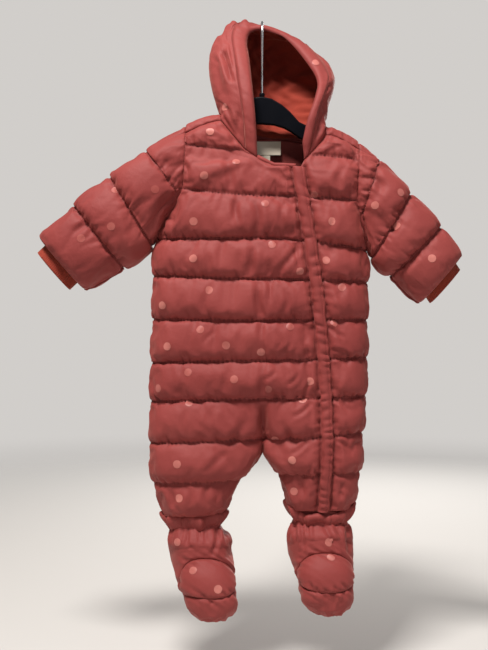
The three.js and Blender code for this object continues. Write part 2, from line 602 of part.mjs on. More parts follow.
// A point on a sleeve's section: the two edges seen from the front are at angle 0 and pi
function sleeveSection(sleeve, at, angle, width = 1, depth = 1) {
  const top = new THREE.Vector3(sleeve.topX(at), 0, sleeve.topZ(at));
  const bottom = new THREE.Vector3(sleeve.bottomX(at), 0, sleeve.bottomZ(at));
  const centre = top.clone().add(bottom).multiplyScalar(0.5);
  const half = top.clone().sub(bottom).multiplyScalar(width / 2);
  const point = centre.clone().addScaledVector(half, Math.cos(angle));
  const towardsFront = Math.sin(angle);
  const reach = towardsFront > 0 ? -sleeve.front(at) : sleeve.back(at);
  point.y = depth * reach * Math.abs(towardsFront) ** 0.85;
  return point;
}

function sleeveLoft(at, angle) {
  const atEdge = Math.abs(Math.cos(angle)) ** 6;
  const share = at - Math.floor(at + 1e-6);
  const first = at < 1 ? 0.55 : 1;
  return at >= 4 ? 0 : first * LOFT * Math.max(0, Math.sin(Math.PI * share)) ** 0.65 * (1 - 0.6 * atEdge);
}

// A sleeve: its first ring is the armhole's own points
function laySleeve(side, table) {
  const sleeve = columns(table);
  const loop = armholeLoop(side);
  const closed = [...loop, loop[0]];
  const order = closed.map((_, i) => (side === 'right' ? i : closed.length - 1 - i));
  const axis = sleeveSection(sleeve, 3, 0).add(sleeveSection(sleeve, 3, Math.PI))
    .sub(sleeveSection(sleeve, 2, 0)).sub(sleeveSection(sleeve, 2, Math.PI)).normalize();
  const lineEnd = side === 'right' ? RIGHT_FIRST_LINE_END : LEFT_FIRST_LINE_END;
  const awayFromSeam = (i) => {
    const run = closed[Math.min(i + 1, loop.length)].place.clone().sub(closed[Math.max(i - 1, 0)].place).normalize();
    return axis.clone().addScaledVector(run, -run.dot(axis)).normalize();
  };
  const firstLine = (i) => {
    const spot = closed[i];
    const share = Math.abs(spot.angle) / lineEnd;
    if (share > 1) return spot.place.clone().addScaledVector(awayFromSeam(i), FIRST_CHANNEL_LEAST);
    const way = 1 - Math.cos((Math.PI / 2) * share);
    const point = sleeveSection(sleeve, 1, spot.angle);
    point.x = THREE.MathUtils.lerp(sleeve.topX(1), sleeve.bottomX(1), way);
    point.z = THREE.MathUtils.lerp(sleeve.topZ(1), sleeve.bottomZ(1), way);
    return point;
  };
  const place = (at, i) => {
    const spot = closed[i];
    if (at === 0) return spot.place;
    if (at >= 2) return sleeveSection(sleeve, at, spot.angle);
    const onLine = firstLine(i);
    if (at <= 1) return spot.place.clone().lerp(onLine, at);
    return onLine.lerp(sleeveSection(sleeve, 2, spot.angle), at - 1);
  };
  const loft = (at, i) => {
    const start = Math.min(Math.floor(at), 1);
    const share = at < 2 ? THREE.MathUtils.smoothstep(place(start, i).distanceTo(place(start + 1, i)), 12, 55) : 1;
    if (at <= 1 && Math.abs(closed[i].angle) > lineEnd) return -UNDERARM_PRESSED;
    return at === 0 ? 0 : share * sleeveLoft(at, closed[i].angle);
  };
  const isBack = (i) => closed[i].face > 0 && closed[i].row >= 0;
  const lastRows = SLEEVE_ROWS.filter((at) => at >= MITT_FROM);
  const firstRows = [0, ...SLEEVE_ROWS.filter((at) => at <= MITT_FROM)];
  suit.grid(`sleeve_${side}`, firstRows, order, place, loft);
  for (let k = 0; k + 1 < order.length; k++) {
    const pair = [order[k], order[k + 1]];
    const part = pair.every((i) => isBack(i) || closed[i].row === UNDERARM) ? '_back_end' : '';
    suit.grid(`sleeve_${side}${part}`, lastRows, pair, place, loft);
  }
}

// A rib cuff: sewn to the sleeve's inside and narrower from there to its open end
function makeCuff(side, table) {
  const sleeve = columns(table);
  const shares = columns(CUFF);
  const cloth = new Cloth();
  const beyond = (at, angle) => {
    const width = shares.width(at);
    const depth = shares.depth(at);
    const point = sleeveSection(sleeve, Math.min(at, 4), angle, width, depth);
    if (at > 4) {
      const run = sleeveSection(sleeve, 4, 0).sub(sleeveSection(sleeve, 3.5, 0)).multiplyScalar(2);
      point.addScaledVector(run, at - 4);
    }
    return point;
  };
  const rows = [3.5, 3.6, 3.72, 3.84, 3.95, 4.1, 4.24];
  const ring = steps(0, side === 'right' ? 2 * Math.PI : -2 * Math.PI, CUFF_COLUMNS);
  cloth.grid('cuff', rows, ring, beyond);
  cloth.settleNormals();
  return cloth.wall(`cuff_${side}`, ['cuff'], () => LINING / 2, () => -LINING / 2, RIB_KNIT);
}

// The hood's centre seam
const hoodSeam = columns(HOOD_SEAM);
const seamPoint = (rib) => new THREE.Vector3(hoodSeam.x(rib), hoodSeam.y(rib), hoodSeam.z(rib));

// The neckline's points from the hood's front corner to the centre back
function neckLoop(side) {
  const front = [HOOD_FRONT_END, 1.075, 1, 0.5, 0].map((row) => bodyPoint(row, side, 1, -1));
  const ridge = RIDGE_ROWS.slice(1).map((row) => bodyPoint(row, side, 1, 1));
  const behind = [0, 0.5].map((row) => bodyPoint(row, side, 1, 1));
  return [...front, ...ridge, ...behind];
}
const NECK_BAND_POINT = 2; // the neck loop's point on the seam between band and panel
const NECK_SIDE_POINT = 6; // the neck loop's point on the shoulder ridge
const NECK_LAST_POINT = 9;

// A rib of the hood: two quarter ovals, from the front edge round the side to the centre seam
function hoodRib(hood, rib) {
  const front = new THREE.Vector3(hood.frontX(rib), hood.frontY(rib), hood.frontZ(rib));
  const side = new THREE.Vector3(hood.sideX(rib), hood.sideY(rib), hood.sideZ(rib));
  const seam = seamPoint(rib);
  const ovalHandle = 0.55;
  const out = side.clone().sub(front).multiply(new THREE.Vector3(ovalHandle, 0.12, ovalHandle));
  const back = side.clone().sub(seam).multiply(new THREE.Vector3(ovalHandle, 0, ovalHandle));
  const rise = new THREE.Vector3(0, (side.y - front.y) * ovalHandle, 0);
  const fall = new THREE.Vector3(0, (seam.y - side.y) * ovalHandle, 0);
  const near = new THREE.CubicBezierCurve3(front, front.clone().add(out), side.clone().sub(rise), side);
  const far = new THREE.CubicBezierCurve3(side, side.clone().add(fall), seam.clone().add(back), seam);
  const bandShare = HOOD_BAND_WIDTH / near.getLength();
  return (index) => {
    if (index < NECK_BAND_POINT) return near.getPointAt((bandShare * index) / NECK_BAND_POINT);
    if (index <= NECK_SIDE_POINT) {
      const share = (index - NECK_BAND_POINT) / (NECK_SIDE_POINT - NECK_BAND_POINT);
      return near.getPointAt(Math.min(bandShare + (1 - bandShare) * share, 1));
    }
    return far.getPointAt((index - NECK_SIDE_POINT) / (NECK_LAST_POINT - NECK_SIDE_POINT));
  };
}

function layHood(side, table) {
  const hood = columns(table);
  const neck = neckLoop(side);
  const rowCount = (HOOD_TOP - 1) * HOOD_ROWS_PER_RIB;
  const ribs = [0, 0.5, ...steps(1, HOOD_TOP, rowCount)];
  const points = new Map();
  for (const rib of ribs) {
    const curve = hoodRib(hood, Math.max(rib, 1));
    const row = neck.map((spot, index) => spot.clone().lerp(curve(index), Math.min(rib, 1)));
    points.set(rib, row);
  }
  const place = (rib, index) => points.get(rib)[index];
  const loft = (rib, index) => {
    if (index < NECK_BAND_POINT) return index * 2 * Math.min(1, rib, HOOD_TOP - rib);
    const acrossPanel = Math.sin((Math.PI * (index - NECK_BAND_POINT)) / (NECK_LAST_POINT - NECK_BAND_POINT));
    return HOOD_LOFT * acrossPanel * Math.min(1, rib) * Math.min(1, HOOD_TOP - rib);
  };
  const downwards = [...ribs].reverse();
  const bandCols = [0, 1, NECK_BAND_POINT];
  const panelCols = steps(NECK_BAND_POINT, NECK_LAST_POINT, NECK_LAST_POINT - NECK_BAND_POINT).map(Math.round);
  const inOrder = (list) => (side === 'left' ? list : [...list].reverse());
  suit.grid('hood_band', downwards, inOrder(bandCols), place, loft);
  suit.grid(`hood_${side}`, downwards, inOrder(panelCols), place, loft);
}

// The turned edge of the front neckline, from the hood's right corner to the zip and from the zip to
// the hood's left corner
function layNeckBinding() {
  const lift = new THREE.Vector3(0, 2.5, 4.5);
  const onNeck = (side, row, across) => bodyPoint(row, side, across, -1);
  const rightRun = [
    onNeck('right', HOOD_FRONT_END, 1),
    onNeck('right', NECK_BOTTOM, 1),
    ...steps(0, 1, 4).slice(1).map((share) => {
      const across = THREE.MathUtils.lerp(1, zipAcross(NECK_BOTTOM, -FLAP_HALF_WIDTH), share);
      return onNeck('left', NECK_BOTTOM, across);
    }),
    onNeck('left', NECK_BOTTOM, zipAcross(NECK_BOTTOM, -ZIP_HALF_WIDTH)),
  ];
  const cols = rightRun.map((_, i) => i);
  suit.grid('neck_binding', [1, 0], cols, (up, i) => rightRun[i].clone().addScaledVector(lift, up));
}

layFrontMain();
layZipStrips();
layFrontSide();
layZipTop();
layBack();
laySleeve('right', RIGHT_SLEEVE);
laySleeve('left', LEFT_SLEEVE);
layHood('right', HOOD_RIGHT);
layHood('left', HOOD_LEFT);
layNeckBinding();
suit.settleNormals();

// A bootie: rings whose front lies on the instep and whose back lies on the sole
function makeBootie(side, table) {
  const ring = columns(table);
  const tip = new THREE.Vector3(
    (ring.outerX(7) + ring.innerX(7)) / 2,
    (ring.frontY(7) + ring.backY(7)) / 2 - 4,
    (ring.frontZ(7) + ring.backZ(7)) / 2 - 3,
  );
  const drop = CAP_SEAM_DROP[side];
  const place = (at, angle) => {
    const towardsInner = 0.5 + 0.5 * Math.sin(angle) * (side === 'right' ? 1 : -1);
    const near = THREE.MathUtils.smoothstep(at, 2.2, CAP_RING) * (1 - THREE.MathUtils.smoothstep(at, CAP_RING, 6.8));
    const swept = THREE.MathUtils.lerp(drop.outer, drop.inner, towardsInner) * (1 - Math.max(0, Math.cos(angle))) * near;
    const row = Math.min(at, 7) + swept;
    const centre = new THREE.Vector3(
      (ring.outerX(row) + ring.innerX(row)) / 2,
      (ring.frontY(row) + ring.backY(row)) / 2,
      (ring.frontZ(row) + ring.backZ(row)) / 2,
    );
    const instep = new THREE.Vector3(centre.x, ring.frontY(row), ring.frontZ(row)).sub(centre);
    const halfWidth = Math.abs(ring.innerX(row) - ring.outerX(row)) / 2;
    const across = Math.sin(angle);
    const up = Math.cos(angle);
    const point = centre.clone().addScaledVector(instep, Math.sign(up) * Math.abs(up) ** 0.85);
    point.x += halfWidth * Math.sign(across) * Math.abs(across) ** 0.85;
    if (at > 7) point.lerp(tip, Math.sin((Math.PI / 2) * (at - 7)) ** 1.6);
    return point;
  };
  const capEnd = (angle) => {
    const share = Math.min(1, Math.abs(angle) / CAP_HALF_ANGLE);
    return CAP_RING + CAP_REACH * Math.sqrt(1 - share * share);
  };
  const cloth = new Cloth();
  const capAngles = steps(-CAP_END_SHARE * CAP_HALF_ANGLE, CAP_END_SHARE * CAP_HALF_ANGLE, 8);
  const sideAngles = [CAP_END_SHARE * CAP_HALF_ANGLE, ...steps(CAP_HALF_ANGLE, SOLE_HALF_ANGLE, 2)];
  const soleAngles = steps(SOLE_HALF_ANGLE, 2 * Math.PI - SOLE_HALF_ANGLE, 6);
  const rightToLeft = [...[...sideAngles].reverse().map((angle) => -angle), ...capAngles.slice(1), ...sideAngles.slice(1)];
  const bulge = (share) => BOOTIE_LOFT * Math.sin(Math.PI * share);
  cloth.grid('upper', [0, 1, 1.5, 2, 3, 3.5, CAP_RING], rightToLeft, place,
    (at) => (at > 1 && at < CAP_RING ? BOOTIE_LOFT * 0.5 : 0));
  cloth.grid('upper', [0, 1, 1.5, 2, HEEL_RING], soleAngles, place,
    (at) => (at > 1 && at < HEEL_RING ? BOOTIE_LOFT * 0.5 : 0));
  cloth.grid('cap', steps(0, 1, 4), capAngles,
    (share, angle) => place(THREE.MathUtils.lerp(CAP_RING, capEnd(angle), share), angle),
    (share, angle) => bulge(share) * Math.cos(angle) ** 0.5);
  cloth.grid('toe', steps(0, 1, 5), rightToLeft,
    (share, angle) => place(THREE.MathUtils.lerp(capEnd(angle), TOE_TIP, share), angle),
    (share) => bulge(share) * 0.8);
  cloth.grid('sole', [HEEL_RING, 3.5, CAP_RING], soleAngles, place);
  cloth.grid('sole', steps(0, 1, 5), soleAngles,
    (share, angle) => place(THREE.MathUtils.lerp(CAP_RING, TOE_TIP, share), angle));
  cloth.settleNormals();
  return ['upper', 'cap', 'toe', 'sole'].map((panel) =>
    cloth.wall(`bootie_${side}_${panel}`, [panel], onTop, onUnderside, SHELL_CLOTH));
}

// The frill over an ankle's elastic: gathered waves that hang outside the leg's end and the bootie's top
function makeFrill(side) {
  const loopAt = (angle) => {
    const share = Math.abs(THREE.MathUtils.euclideanModulo(angle + Math.PI, 2 * Math.PI) - Math.PI) / Math.PI;
    const face = Math.sin(angle) < 0 ? -1 : 1;
    return bodyPoint(10, side, share, face);
  };
  const centre = loopAt(0).add(loopAt(Math.PI)).multiplyScalar(0.5);
  const cloth = new Cloth();
  const row = columns(FRILL);
  const place = (at, angle) => {
    const point = loopAt(angle);
    const out = point.clone().sub(centre).setZ(0);
    point.add(out.setLength(row.out(at) + Math.cos(FRILL_WAVES * angle) * row.wave(at)));
    point.z += THREE.MathUtils.lerp(row.riseSide(at), row.riseFront(at), Math.abs(Math.sin(angle)));
    point.z += Math.sin(FRILL_WAVES * angle + 1) * row.wave(at);
    return point;
  };
  const turn = side === 'right' ? -2 * Math.PI : 2 * Math.PI;
  const ring = steps(0, turn, FRILL_COLUMNS).map((angle, i) => (i === FRILL_COLUMNS ? 0 : angle));
  cloth.grid('frill', [0, 0.5, 1], ring.map((angle) => -angle), place);
  cloth.settleNormals();
  return cloth.wall(`ankle_frill_${side}`, ['frill'], () => FRILL_THICKNESS / 2, () => -FRILL_THICKNESS / 2, SHELL_CLOTH);
}

// A woven label: a thin sheet that lies on the facing at the back of the neck
function makeLabel(name, { x, z, width, height }, facingY) {
  const label = new THREE.Mesh(new THREE.BoxGeometry(width, LABEL_THICKNESS, height), WOVEN_LABEL);
  label.name = name;
  label.position.set(x, facingY, z);
  return label;
}

// The hanger's body: one arched plate with sloping arms
function makeHangerBody() {
  const armTop = (x) => -118.6 - 0.35 * x;
  const armBottom = (x) => armTop(x) - THREE.MathUtils.mapLinear(x, 57, HANGER_HALF_WIDTH, 22, 13);
  const half = [
    [0, -103], [14, -105.7], [28, -113], [40, -122.5], [48, -130.5], [54, -136.8], [62, armTop(62)],
    [HANGER_HALF_WIDTH - 7, armTop(HANGER_HALF_WIDTH - 7)], [HANGER_HALF_WIDTH, armTop(HANGER_HALF_WIDTH) - 4],
    [HANGER_HALF_WIDTH, armBottom(HANGER_HALF_WIDTH) + 4], [HANGER_HALF_WIDTH - 6, armBottom(HANGER_HALF_WIDTH)],
    [57, armBottom(57)], [43, -151.5], [33, -146.5], [19, -142.8], [0, -142],
  ];
  const outline = new THREE.Shape();
  half.forEach(([x, z], i) => (i ? outline.lineTo(x, z) : outline.moveTo(x, z)));
  [...half].reverse().slice(1, -1).forEach(([x, z]) => outline.lineTo(-x, z));
  const plate = new THREE.ExtrudeGeometry(outline, { depth: HANGER_THICKNESS, bevelEnabled: false });
  plate.translate(0, 0, -HANGER_THICKNESS / 2);
  plate.rotateX(Math.PI / 2);
  const mesh = new THREE.Mesh(plate, DARK_PLASTIC);
  mesh.name = 'hanger_body';
  const tilted = new THREE.Group();
  tilted.position.set(0, 0, -103);
  tilted.rotation.y = -HANGER_TILT;
  mesh.position.set(0, 0, 103);
  tilted.add(mesh);
  return tilted;
}

// The short socket on the plate's top that the hook turns in
function makeHangerSocket() {
  const profile = [[2.1, 0], [4, 0], [4, 3.2], [3.4, 4], [2.1, 4], [2.1, 0]];
  const socket = new THREE.LatheGeometry(profile.map(([r, z]) => new THREE.Vector2(r, z)), 20);
  socket.rotateX(Math.PI / 2);
  const mesh = new THREE.Mesh(socket, DARK_PLASTIC);
  mesh.name = 'hanger_socket';
  mesh.position.set(0, 0, SOCKET_TOP - 3.2);
  return mesh;
}

// The wire hook: straight up from the socket, forward, over the rod and down behind it
function makeHangerHook() {
  const middle = HOOK_INNER_RADIUS + HOOK_WIRE_RADIUS;
  const centreZ = -HOOK_INNER_RADIUS;
  const rodArc = Array.from({ length: 9 }, (_, i) => {
    const angle = THREE.MathUtils.degToRad(-150 + i * 27.5);
    return new THREE.Vector3(0, middle * Math.sin(angle), centreZ + middle * Math.cos(angle));
  });
  const path = new THREE.CatmullRomCurve3([
    new THREE.Vector3(0, 0, SOCKET_TOP - 2.4),
    new THREE.Vector3(0, 0, SOCKET_TOP + 10),
    new THREE.Vector3(0, 0, SOCKET_TOP + 24),
    new THREE.Vector3(0, -5, -62),
    ...rodArc.slice(1),
  ]);
  const section = new THREE.Shape();
  section.absarc(0, 0, HOOK_WIRE_RADIUS, 0, 2 * Math.PI);
  const wire = new THREE.ExtrudeGeometry(section, { steps: 44, curveSegments: 5, extrudePath: path });
  const mesh = new THREE.Mesh(wire, STEEL);
  mesh.name = 'hanger_hook';
  return mesh;
}

const flapBottom = (loft) => HALF_CLOTH + loft + LAYER_GAP;
const flapTop = (loft, point) => {
  const wave = Math.sin((point.z / 500) * Math.PI * FLAP_PUCKERS) * PUCKER_HEIGHT;
  return flapBottom(loft) + FLAP_THICKNESS + wave;
};
const behindCloth = () => -HALF_CLOTH - LAYER_GAP;
const behindLining = () => -HALF_CLOTH - LAYER_GAP - LINING;
const mittBottom = (loft) => HALF_CLOTH + loft + LAYER_GAP;
const mittTop = (loft) => mittBottom(loft) + MITT_THICKNESS;
const LABEL_Y = 18.2;

const snowsuit = new THREE.Group();
snowsuit.name = 'baby_snowsuit_on_hanger';
snowsuit.add(
  suit.wall('front_main', ['front_main', 'front_main_edge'], onTop, onUnderside, SHELL_CLOTH),
  suit.wall('front_side', ['front_side', 'front_side_edge'], onTop, onUnderside, SHELL_CLOTH),
  suit.wall('zip', ['zip'], () => 0.9, onUnderside, SHELL_CLOTH),
  suit.wall('zip_flap', ['front_main_edge', 'zip', 'front_side_edge'], flapTop, flapBottom, SHELL_CLOTH),
  suit.wall('back', ['back', 'back_neck'], onTop, onUnderside, SHELL_CLOTH),
  suit.wall('neck_facing', ['back_neck'], behindCloth, behindLining, SHELL_CLOTH),
  suit.wall('neck_binding', ['neck_binding'], onTop, onUnderside, SHELL_CLOTH),
  suit.wall('hood_band', ['hood_band'], onTop, onUnderside, SHELL_CLOTH),
  suit.wall('hood_right', ['hood_right'], onTop, onUnderside, SHELL_CLOTH),
  suit.wall('hood_left', ['hood_left'], onTop, onUnderside, SHELL_CLOTH),
  suit.wall('hood_lining', ['hood_right', 'hood_left'], behindCloth, behindLining, HOOD_LINING),
);
for (const side of ['right', 'left']) {
  const table = side === 'right' ? RIGHT_SLEEVE : LEFT_SLEEVE;
  const ends = [`sleeve_${side}`, `sleeve_${side}_back_end`];
  snowsuit.add(
    suit.wall(`sleeve_${side}`, ends, onTop, onUnderside, SHELL_CLOTH),
    suit.wall(`mitt_${side}`, [ends[1]], mittTop, mittBottom, SHELL_CLOTH),
    makeCuff(side, table),
    makeFrill(side),
    ...makeBootie(side, side === 'right' ? RIGHT_BOOTIE : LEFT_BOOTIE),
  );
}
snowsuit.add(
  makeLabel('label_main', MAIN_LABEL, LABEL_Y),
  makeLabel('label_size', SIZE_LABEL, LABEL_Y),
  makeHangerBody(),
  makeHangerSocket(),
  makeHangerHook(),
);

export default snowsuit;
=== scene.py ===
# %% [markdown]
# # A baby's quilted snowsuit on its hanger
# The real thing is a one-piece suit of two thin cloths with wadding between them, sewn through in level
# lines. It hangs from a child's plastic hanger with a wire hook. The solids of the part already give every
# piece its place, so this script dresses them: it lays each panel again with many more points, lets
# Blender's cloth simulation swell the channels, and adds seams, stitches, dots and finishes.

import bmesh
import bpy
import math
import numpy as np
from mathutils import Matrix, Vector
from mathutils.bvhtree import BVHTree
from mathutils.kdtree import KDTree


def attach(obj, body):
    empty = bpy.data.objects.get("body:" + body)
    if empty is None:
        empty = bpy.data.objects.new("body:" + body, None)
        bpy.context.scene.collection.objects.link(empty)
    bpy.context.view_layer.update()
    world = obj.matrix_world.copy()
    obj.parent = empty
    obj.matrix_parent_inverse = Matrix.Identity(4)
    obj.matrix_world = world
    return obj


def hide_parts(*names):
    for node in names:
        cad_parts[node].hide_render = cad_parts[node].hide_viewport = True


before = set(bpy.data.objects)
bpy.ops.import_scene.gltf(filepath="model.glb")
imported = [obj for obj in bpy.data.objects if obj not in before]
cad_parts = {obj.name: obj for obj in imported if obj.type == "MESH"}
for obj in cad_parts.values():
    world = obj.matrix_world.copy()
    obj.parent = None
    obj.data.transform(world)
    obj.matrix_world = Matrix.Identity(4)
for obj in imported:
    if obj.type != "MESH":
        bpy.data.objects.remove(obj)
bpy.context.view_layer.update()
MM = 0.001

# %% [markdown]
# ## Camera, floor and light
# The photograph looks straight at the suit from a little over a metre away, level with its waist. A soft
# window light from high on the left models the channels, a weak one from the right keeps the shadows open,
# and one behind serves the back views. The floor is one pale sheet well below the feet. It fades out with
# its distance, so no edge or horizon shows, and the pale world is the rest of the room.

# %% Camera
VIEW_DISTANCE = 1.3
EYE_X, EYE_Z = -25.6, -427
camera_data = bpy.data.cameras.new("camera")
camera_data.sensor_width = 36
camera_data.lens = 50.7
camera = bpy.data.objects.new("camera", camera_data)
bpy.context.collection.objects.link(camera)
camera.location = (EYE_X * MM, -VIEW_DISTANCE, EYE_Z * MM)
camera.rotation_euler = (math.pi / 2, 0, 0)
bpy.context.scene.camera = camera


# %% Lights and world
def area_light(name, place, target, size, power, colour):
    data = bpy.data.lights.new(name, "AREA")
    data.shape = "RECTANGLE"
    data.size, data.size_y = size
    data.energy = power
    data.color = colour
    lamp = bpy.data.objects.new(name, data)
    bpy.context.collection.objects.link(lamp)
    lamp.location = place
    lamp.rotation_euler = (Vector(target) - Vector(place)).to_track_quat("-Z", "Y").to_euler()
    return lamp


area_light("window", (-0.45, -1.0, 1.55), (0, 0, -0.42), (0.5, 0.4), 76, (1.0, 0.97, 0.94))
area_light("fill", (1.5, -1.6, 0.1), (0, 0, -0.45), (1.4, 1.4), 5, (0.96, 0.97, 1.0))
area_light("rim", (0.5, 1.9, 0.2), (0, 0, -0.4), (1.2, 1.0), 30, (1.0, 0.98, 0.96))
WORLD_LIGHT, WORLD_SEEN = 0.25, 0.76
world = bpy.data.worlds.new("pale room")
bpy.context.scene.world = world
world.use_nodes = True
room = world.node_tree
seen_directly = room.nodes.new("ShaderNodeLightPath")
strength = room.nodes.new("ShaderNodeMapRange")
strength.inputs["To Min"].default_value = WORLD_LIGHT
strength.inputs["To Max"].default_value = WORLD_SEEN
room.links.new(seen_directly.outputs["Is Camera Ray"], strength.inputs["Value"])
room.links.new(strength.outputs[0], room.nodes["Background"].inputs["Strength"])
room.nodes["Background"].inputs["Color"].default_value = (0.84, 0.81, 0.78, 1)
bpy.context.scene.view_settings.view_transform = "Standard"

# %% [markdown]
# ## Tables
# The suit's shape is a few short tables. Each row belongs to a quilting line, from the shoulder seam (0) to
# the ankle (10), and the columns say where the side seams and the inside legs run and how far the cloth
# stands off the hanging plane. Numbers are millimetres here and become metres when a mesh is made.

# %% The body
BODY = {
    "at": [1.33, 2, 3, 4, 5, 6, 7, 8, 8.22, 9, 10],
    "rightX": [-108.6, -112.2, -147, -152.5, -152.8, -154.6, -156, -156.7, -156.8, -152, -134],
    "rightZ": [-197, -237.6, -306.7, -357.8, -418.9, -480, -534.6, -592.9, -603.5, -648.9, -697],
    "forkRightX": [15.6, 8.5, 4.3, 0, -1.4, -2.8, 0, 1.4, 1.4, -31.2, -57.5],
    "forkRightZ": [-206.6, -248.5, -307.4, -363.5, -421, -476.4, -529.7, -587, -599, -644.7, -693],
    "forkLeftX": [15.6, 8.5, 4.3, 0, -1.4, -2.8, 0, 1.4, 1.4, 23.4, 41.2],
    "forkLeftZ": [-206.6, -248.5, -307.4, -363.5, -421, -476.4, -529.7, -587, -599, -636.2, -687],
    "leftX": [132.8, 132.1, 147.2, 147.5, 146.8, 147.3, 145.4, 140.4, 139.5, 137, 124.5],
    "leftZ": [-216, -254.2, -322, -367, -420, -472.2, -526.8, -578, -590.7, -634, -687],
    "front": [32, 36, 38, 38, 38, 38, 37, 36, 35, 33, 24],
    "back": [27, 30, 32, 33, 34, 35, 35, 34, 34, 32, 24],
    "split": [0, 0, 0, 0, 0, 0, 0.1, 0.85, 1, 1, 1],
}
FRONT_STRAPS = {
    "at": [0, 0.5, 1, 1.15, 1.33],
    "rightX": [-107.9, -107.6, -107.5, -108, -108.6],
    "rightZ": [-158.2, -166.5, -176, -185.5, -197],
    "neckRightX": [-58.2, -41.2, -24.1, -7.1, 15.6],
    "neckRightZ": [-140.4, -162.5, -184, -195, -206.6],
    "neckLeftX": [89.5, 79.5, 65.5, 58, 15.6],
    "neckLeftZ": [-160.5, -174.5, -190.5, -198, -206.6],
    "leftX": [136.3, 135, 134.5, 133.6, 132.8],
    "leftZ": [-181.8, -189.5, -198, -206, -216],
    "depth": [17, 23, 28, 30, 32],
}
BACK_STRAPS = {
    "at": [0, 0.5, 1, 1.15, 1.33],
    "neckRightX": [-57, 15.6, 15.6, 15.6, 15.6],
    "neckRightZ": [-145, -160, -182, -190, -200],
    "neckLeftX": [79, 15.6, 15.6, 15.6, 15.6],
    "neckLeftZ": [-158, -160, -182, -190, -200],
    "depth": [17, 21, 25, 26, 27],
}
ZIP_LINE = {
    "at": [-690, -655, -603, -551, -500, -449, -373, -308, -244, -200],
    "x": [85, 87, 90, 89.2, 86.6, 82.6, 75.3, 64.9, 55, 47.5],
}
HALF_CLOTH, LOFT = 1.2, 8.0
ZIP_HALF_WIDTH, FLAP_HALF_WIDTH = 3.0, 9.5
RIDGE_RISE, ARMHOLE_DEPTH = 12.0, 30.0
NECK_BOTTOM, UNDERARM, CROTCH, HOOD_FRONT_END = 1.33, 3.0, 8.22, 1.15


# %% [markdown]
# A table column becomes a smooth curve through its rows, with the slope at a row the mean of the slopes on
# its two sides. NumPy evaluates it for a whole grid of points at once.

# %% Smooth columns
def smooth(places, values):
    places, values = np.array(places, float), np.array(values, float)
    slopes = np.diff(values) / np.diff(places)
    tangents = np.concatenate([slopes[:1], (slopes[1:] + slopes[:-1]) / 2, slopes[-1:]])

    def curve(at):
        at = np.clip(at, places[0], places[-1])
        k = np.clip(np.searchsorted(places, at, side="right") - 1, 0, len(places) - 2)
        span = places[k + 1] - places[k]
        p = (at - places[k]) / span
        start = (2 * p**3 - 3 * p**2 + 1) * values[k] + (p**3 - 2 * p**2 + p) * span * tangents[k]
        end = (3 * p**2 - 2 * p**3) * values[k + 1] + (p**3 - p**2) * span * tangents[k + 1]
        return start + end

    return curve


def columns(table, straight=False):
    """One function for each column of a table, smooth or with straight runs."""

    def column(name):
        def straight_run(at):
            return np.interp(at, table["at"], table[name])

        return straight_run if straight else smooth(table["at"], table[name])

    return {name: column(name) for name in table if name != "at"}


body, zip_x = columns(BODY), columns(ZIP_LINE)["x"]
front_straps, back_straps = columns(FRONT_STRAPS, True), columns(BACK_STRAPS, True)


def mix(a, b, share):
    return a + (b - a) * share


def ease(value, low, high):
    share = np.clip((value - low) / (high - low), 0, 1)
    return share * share * (3 - 2 * share)


# %% [markdown]
# `torso` gives a point of the body's middle cloth for a row, a side and how far across the half it lies.
# Above the crotch each half is a quarter of an oval, and in a leg it is half of one. Rows under zero are the
# roll of the back panel over the shoulder.

# %% Points of the torso
def armhole_depth(row):
    turn = np.clip(np.pi * (np.clip(row, 0, 3) + 0.35) / (UNDERARM + 0.35), 0, np.pi)
    return np.where(row < UNDERARM, ARMHOLE_DEPTH * np.abs(np.sin(turn)) ** 0.7, 0)


def flat_rows(row, side, across, face):
    row, across = np.broadcast_arrays(np.asarray(row, float), np.asarray(across, float))
    high = row <= NECK_BOTTOM + 1e-9
    neck = "neckRight" if side == "right" else "neckLeft"
    fork = "forkRight" if side == "right" else "forkLeft"
    straps = front_straps if face < 0 else back_straps
    edge_x = np.where(high, front_straps[side + "X"](row), body[side + "X"](row))
    edge_z = np.where(high, front_straps[side + "Z"](row), body[side + "Z"](row))
    in_x = np.where(high, straps[neck + "X"](row), body[fork + "X"](row))
    in_z = np.where(high, straps[neck + "Z"](row), body[fork + "Z"](row))
    depth = np.where(high, straps["depth"](row), body["front" if face < 0 else "back"](row))
    split = np.where(row < 6.5, 0, np.clip(body["split"](row), 0, 1))
    trunk_way, leg_way = 1 - np.cos(np.pi / 2 * across), (1 - np.cos(np.pi * across)) / 2
    trunk_height = np.abs(np.sin(np.pi / 2 * across)) ** 0.75
    leg_height = np.where(across >= 1 - 1e-9, 0, np.abs(np.sin(np.pi * np.minimum(across, 1))) ** 0.75)
    way, height = mix(trunk_way, leg_way, split), mix(trunk_height, leg_height, split)
    seam = armhole_depth(row)
    x = mix(edge_x, in_x, way)
    z = in_z + (edge_z - in_z) * np.clip(1 - way, 0, 1) ** 1.5
    return np.stack([x, face * (seam + (depth - seam) * height), z], axis=-1)


def torso(row, side, across, face):
    row, across = np.broadcast_arrays(np.asarray(row, float), np.asarray(across, float))
    points = flat_rows(np.maximum(row, 0), side, across, face)
    front, back = flat_rows(0 * row, side, across, -1), flat_rows(0 * row, side, across, 1)
    turn = np.pi * (np.minimum(row, 0) + 1)
    over = mix(front, back, ((1 - np.cos(turn)) / 2)[..., None])
    over[..., 2] += RIDGE_RISE * np.sin(turn)
    return np.where((row < 0)[..., None], over, points)


def across_at(row, x, side="left"):
    low, high = np.zeros_like(row), np.ones_like(row)
    for _ in range(40):
        middle = (low + high) / 2
        past = flat_rows(row, side, middle, -1)[..., 0] > x
        low, high = np.where(past, middle, low), np.where(past, high, middle)
    return low


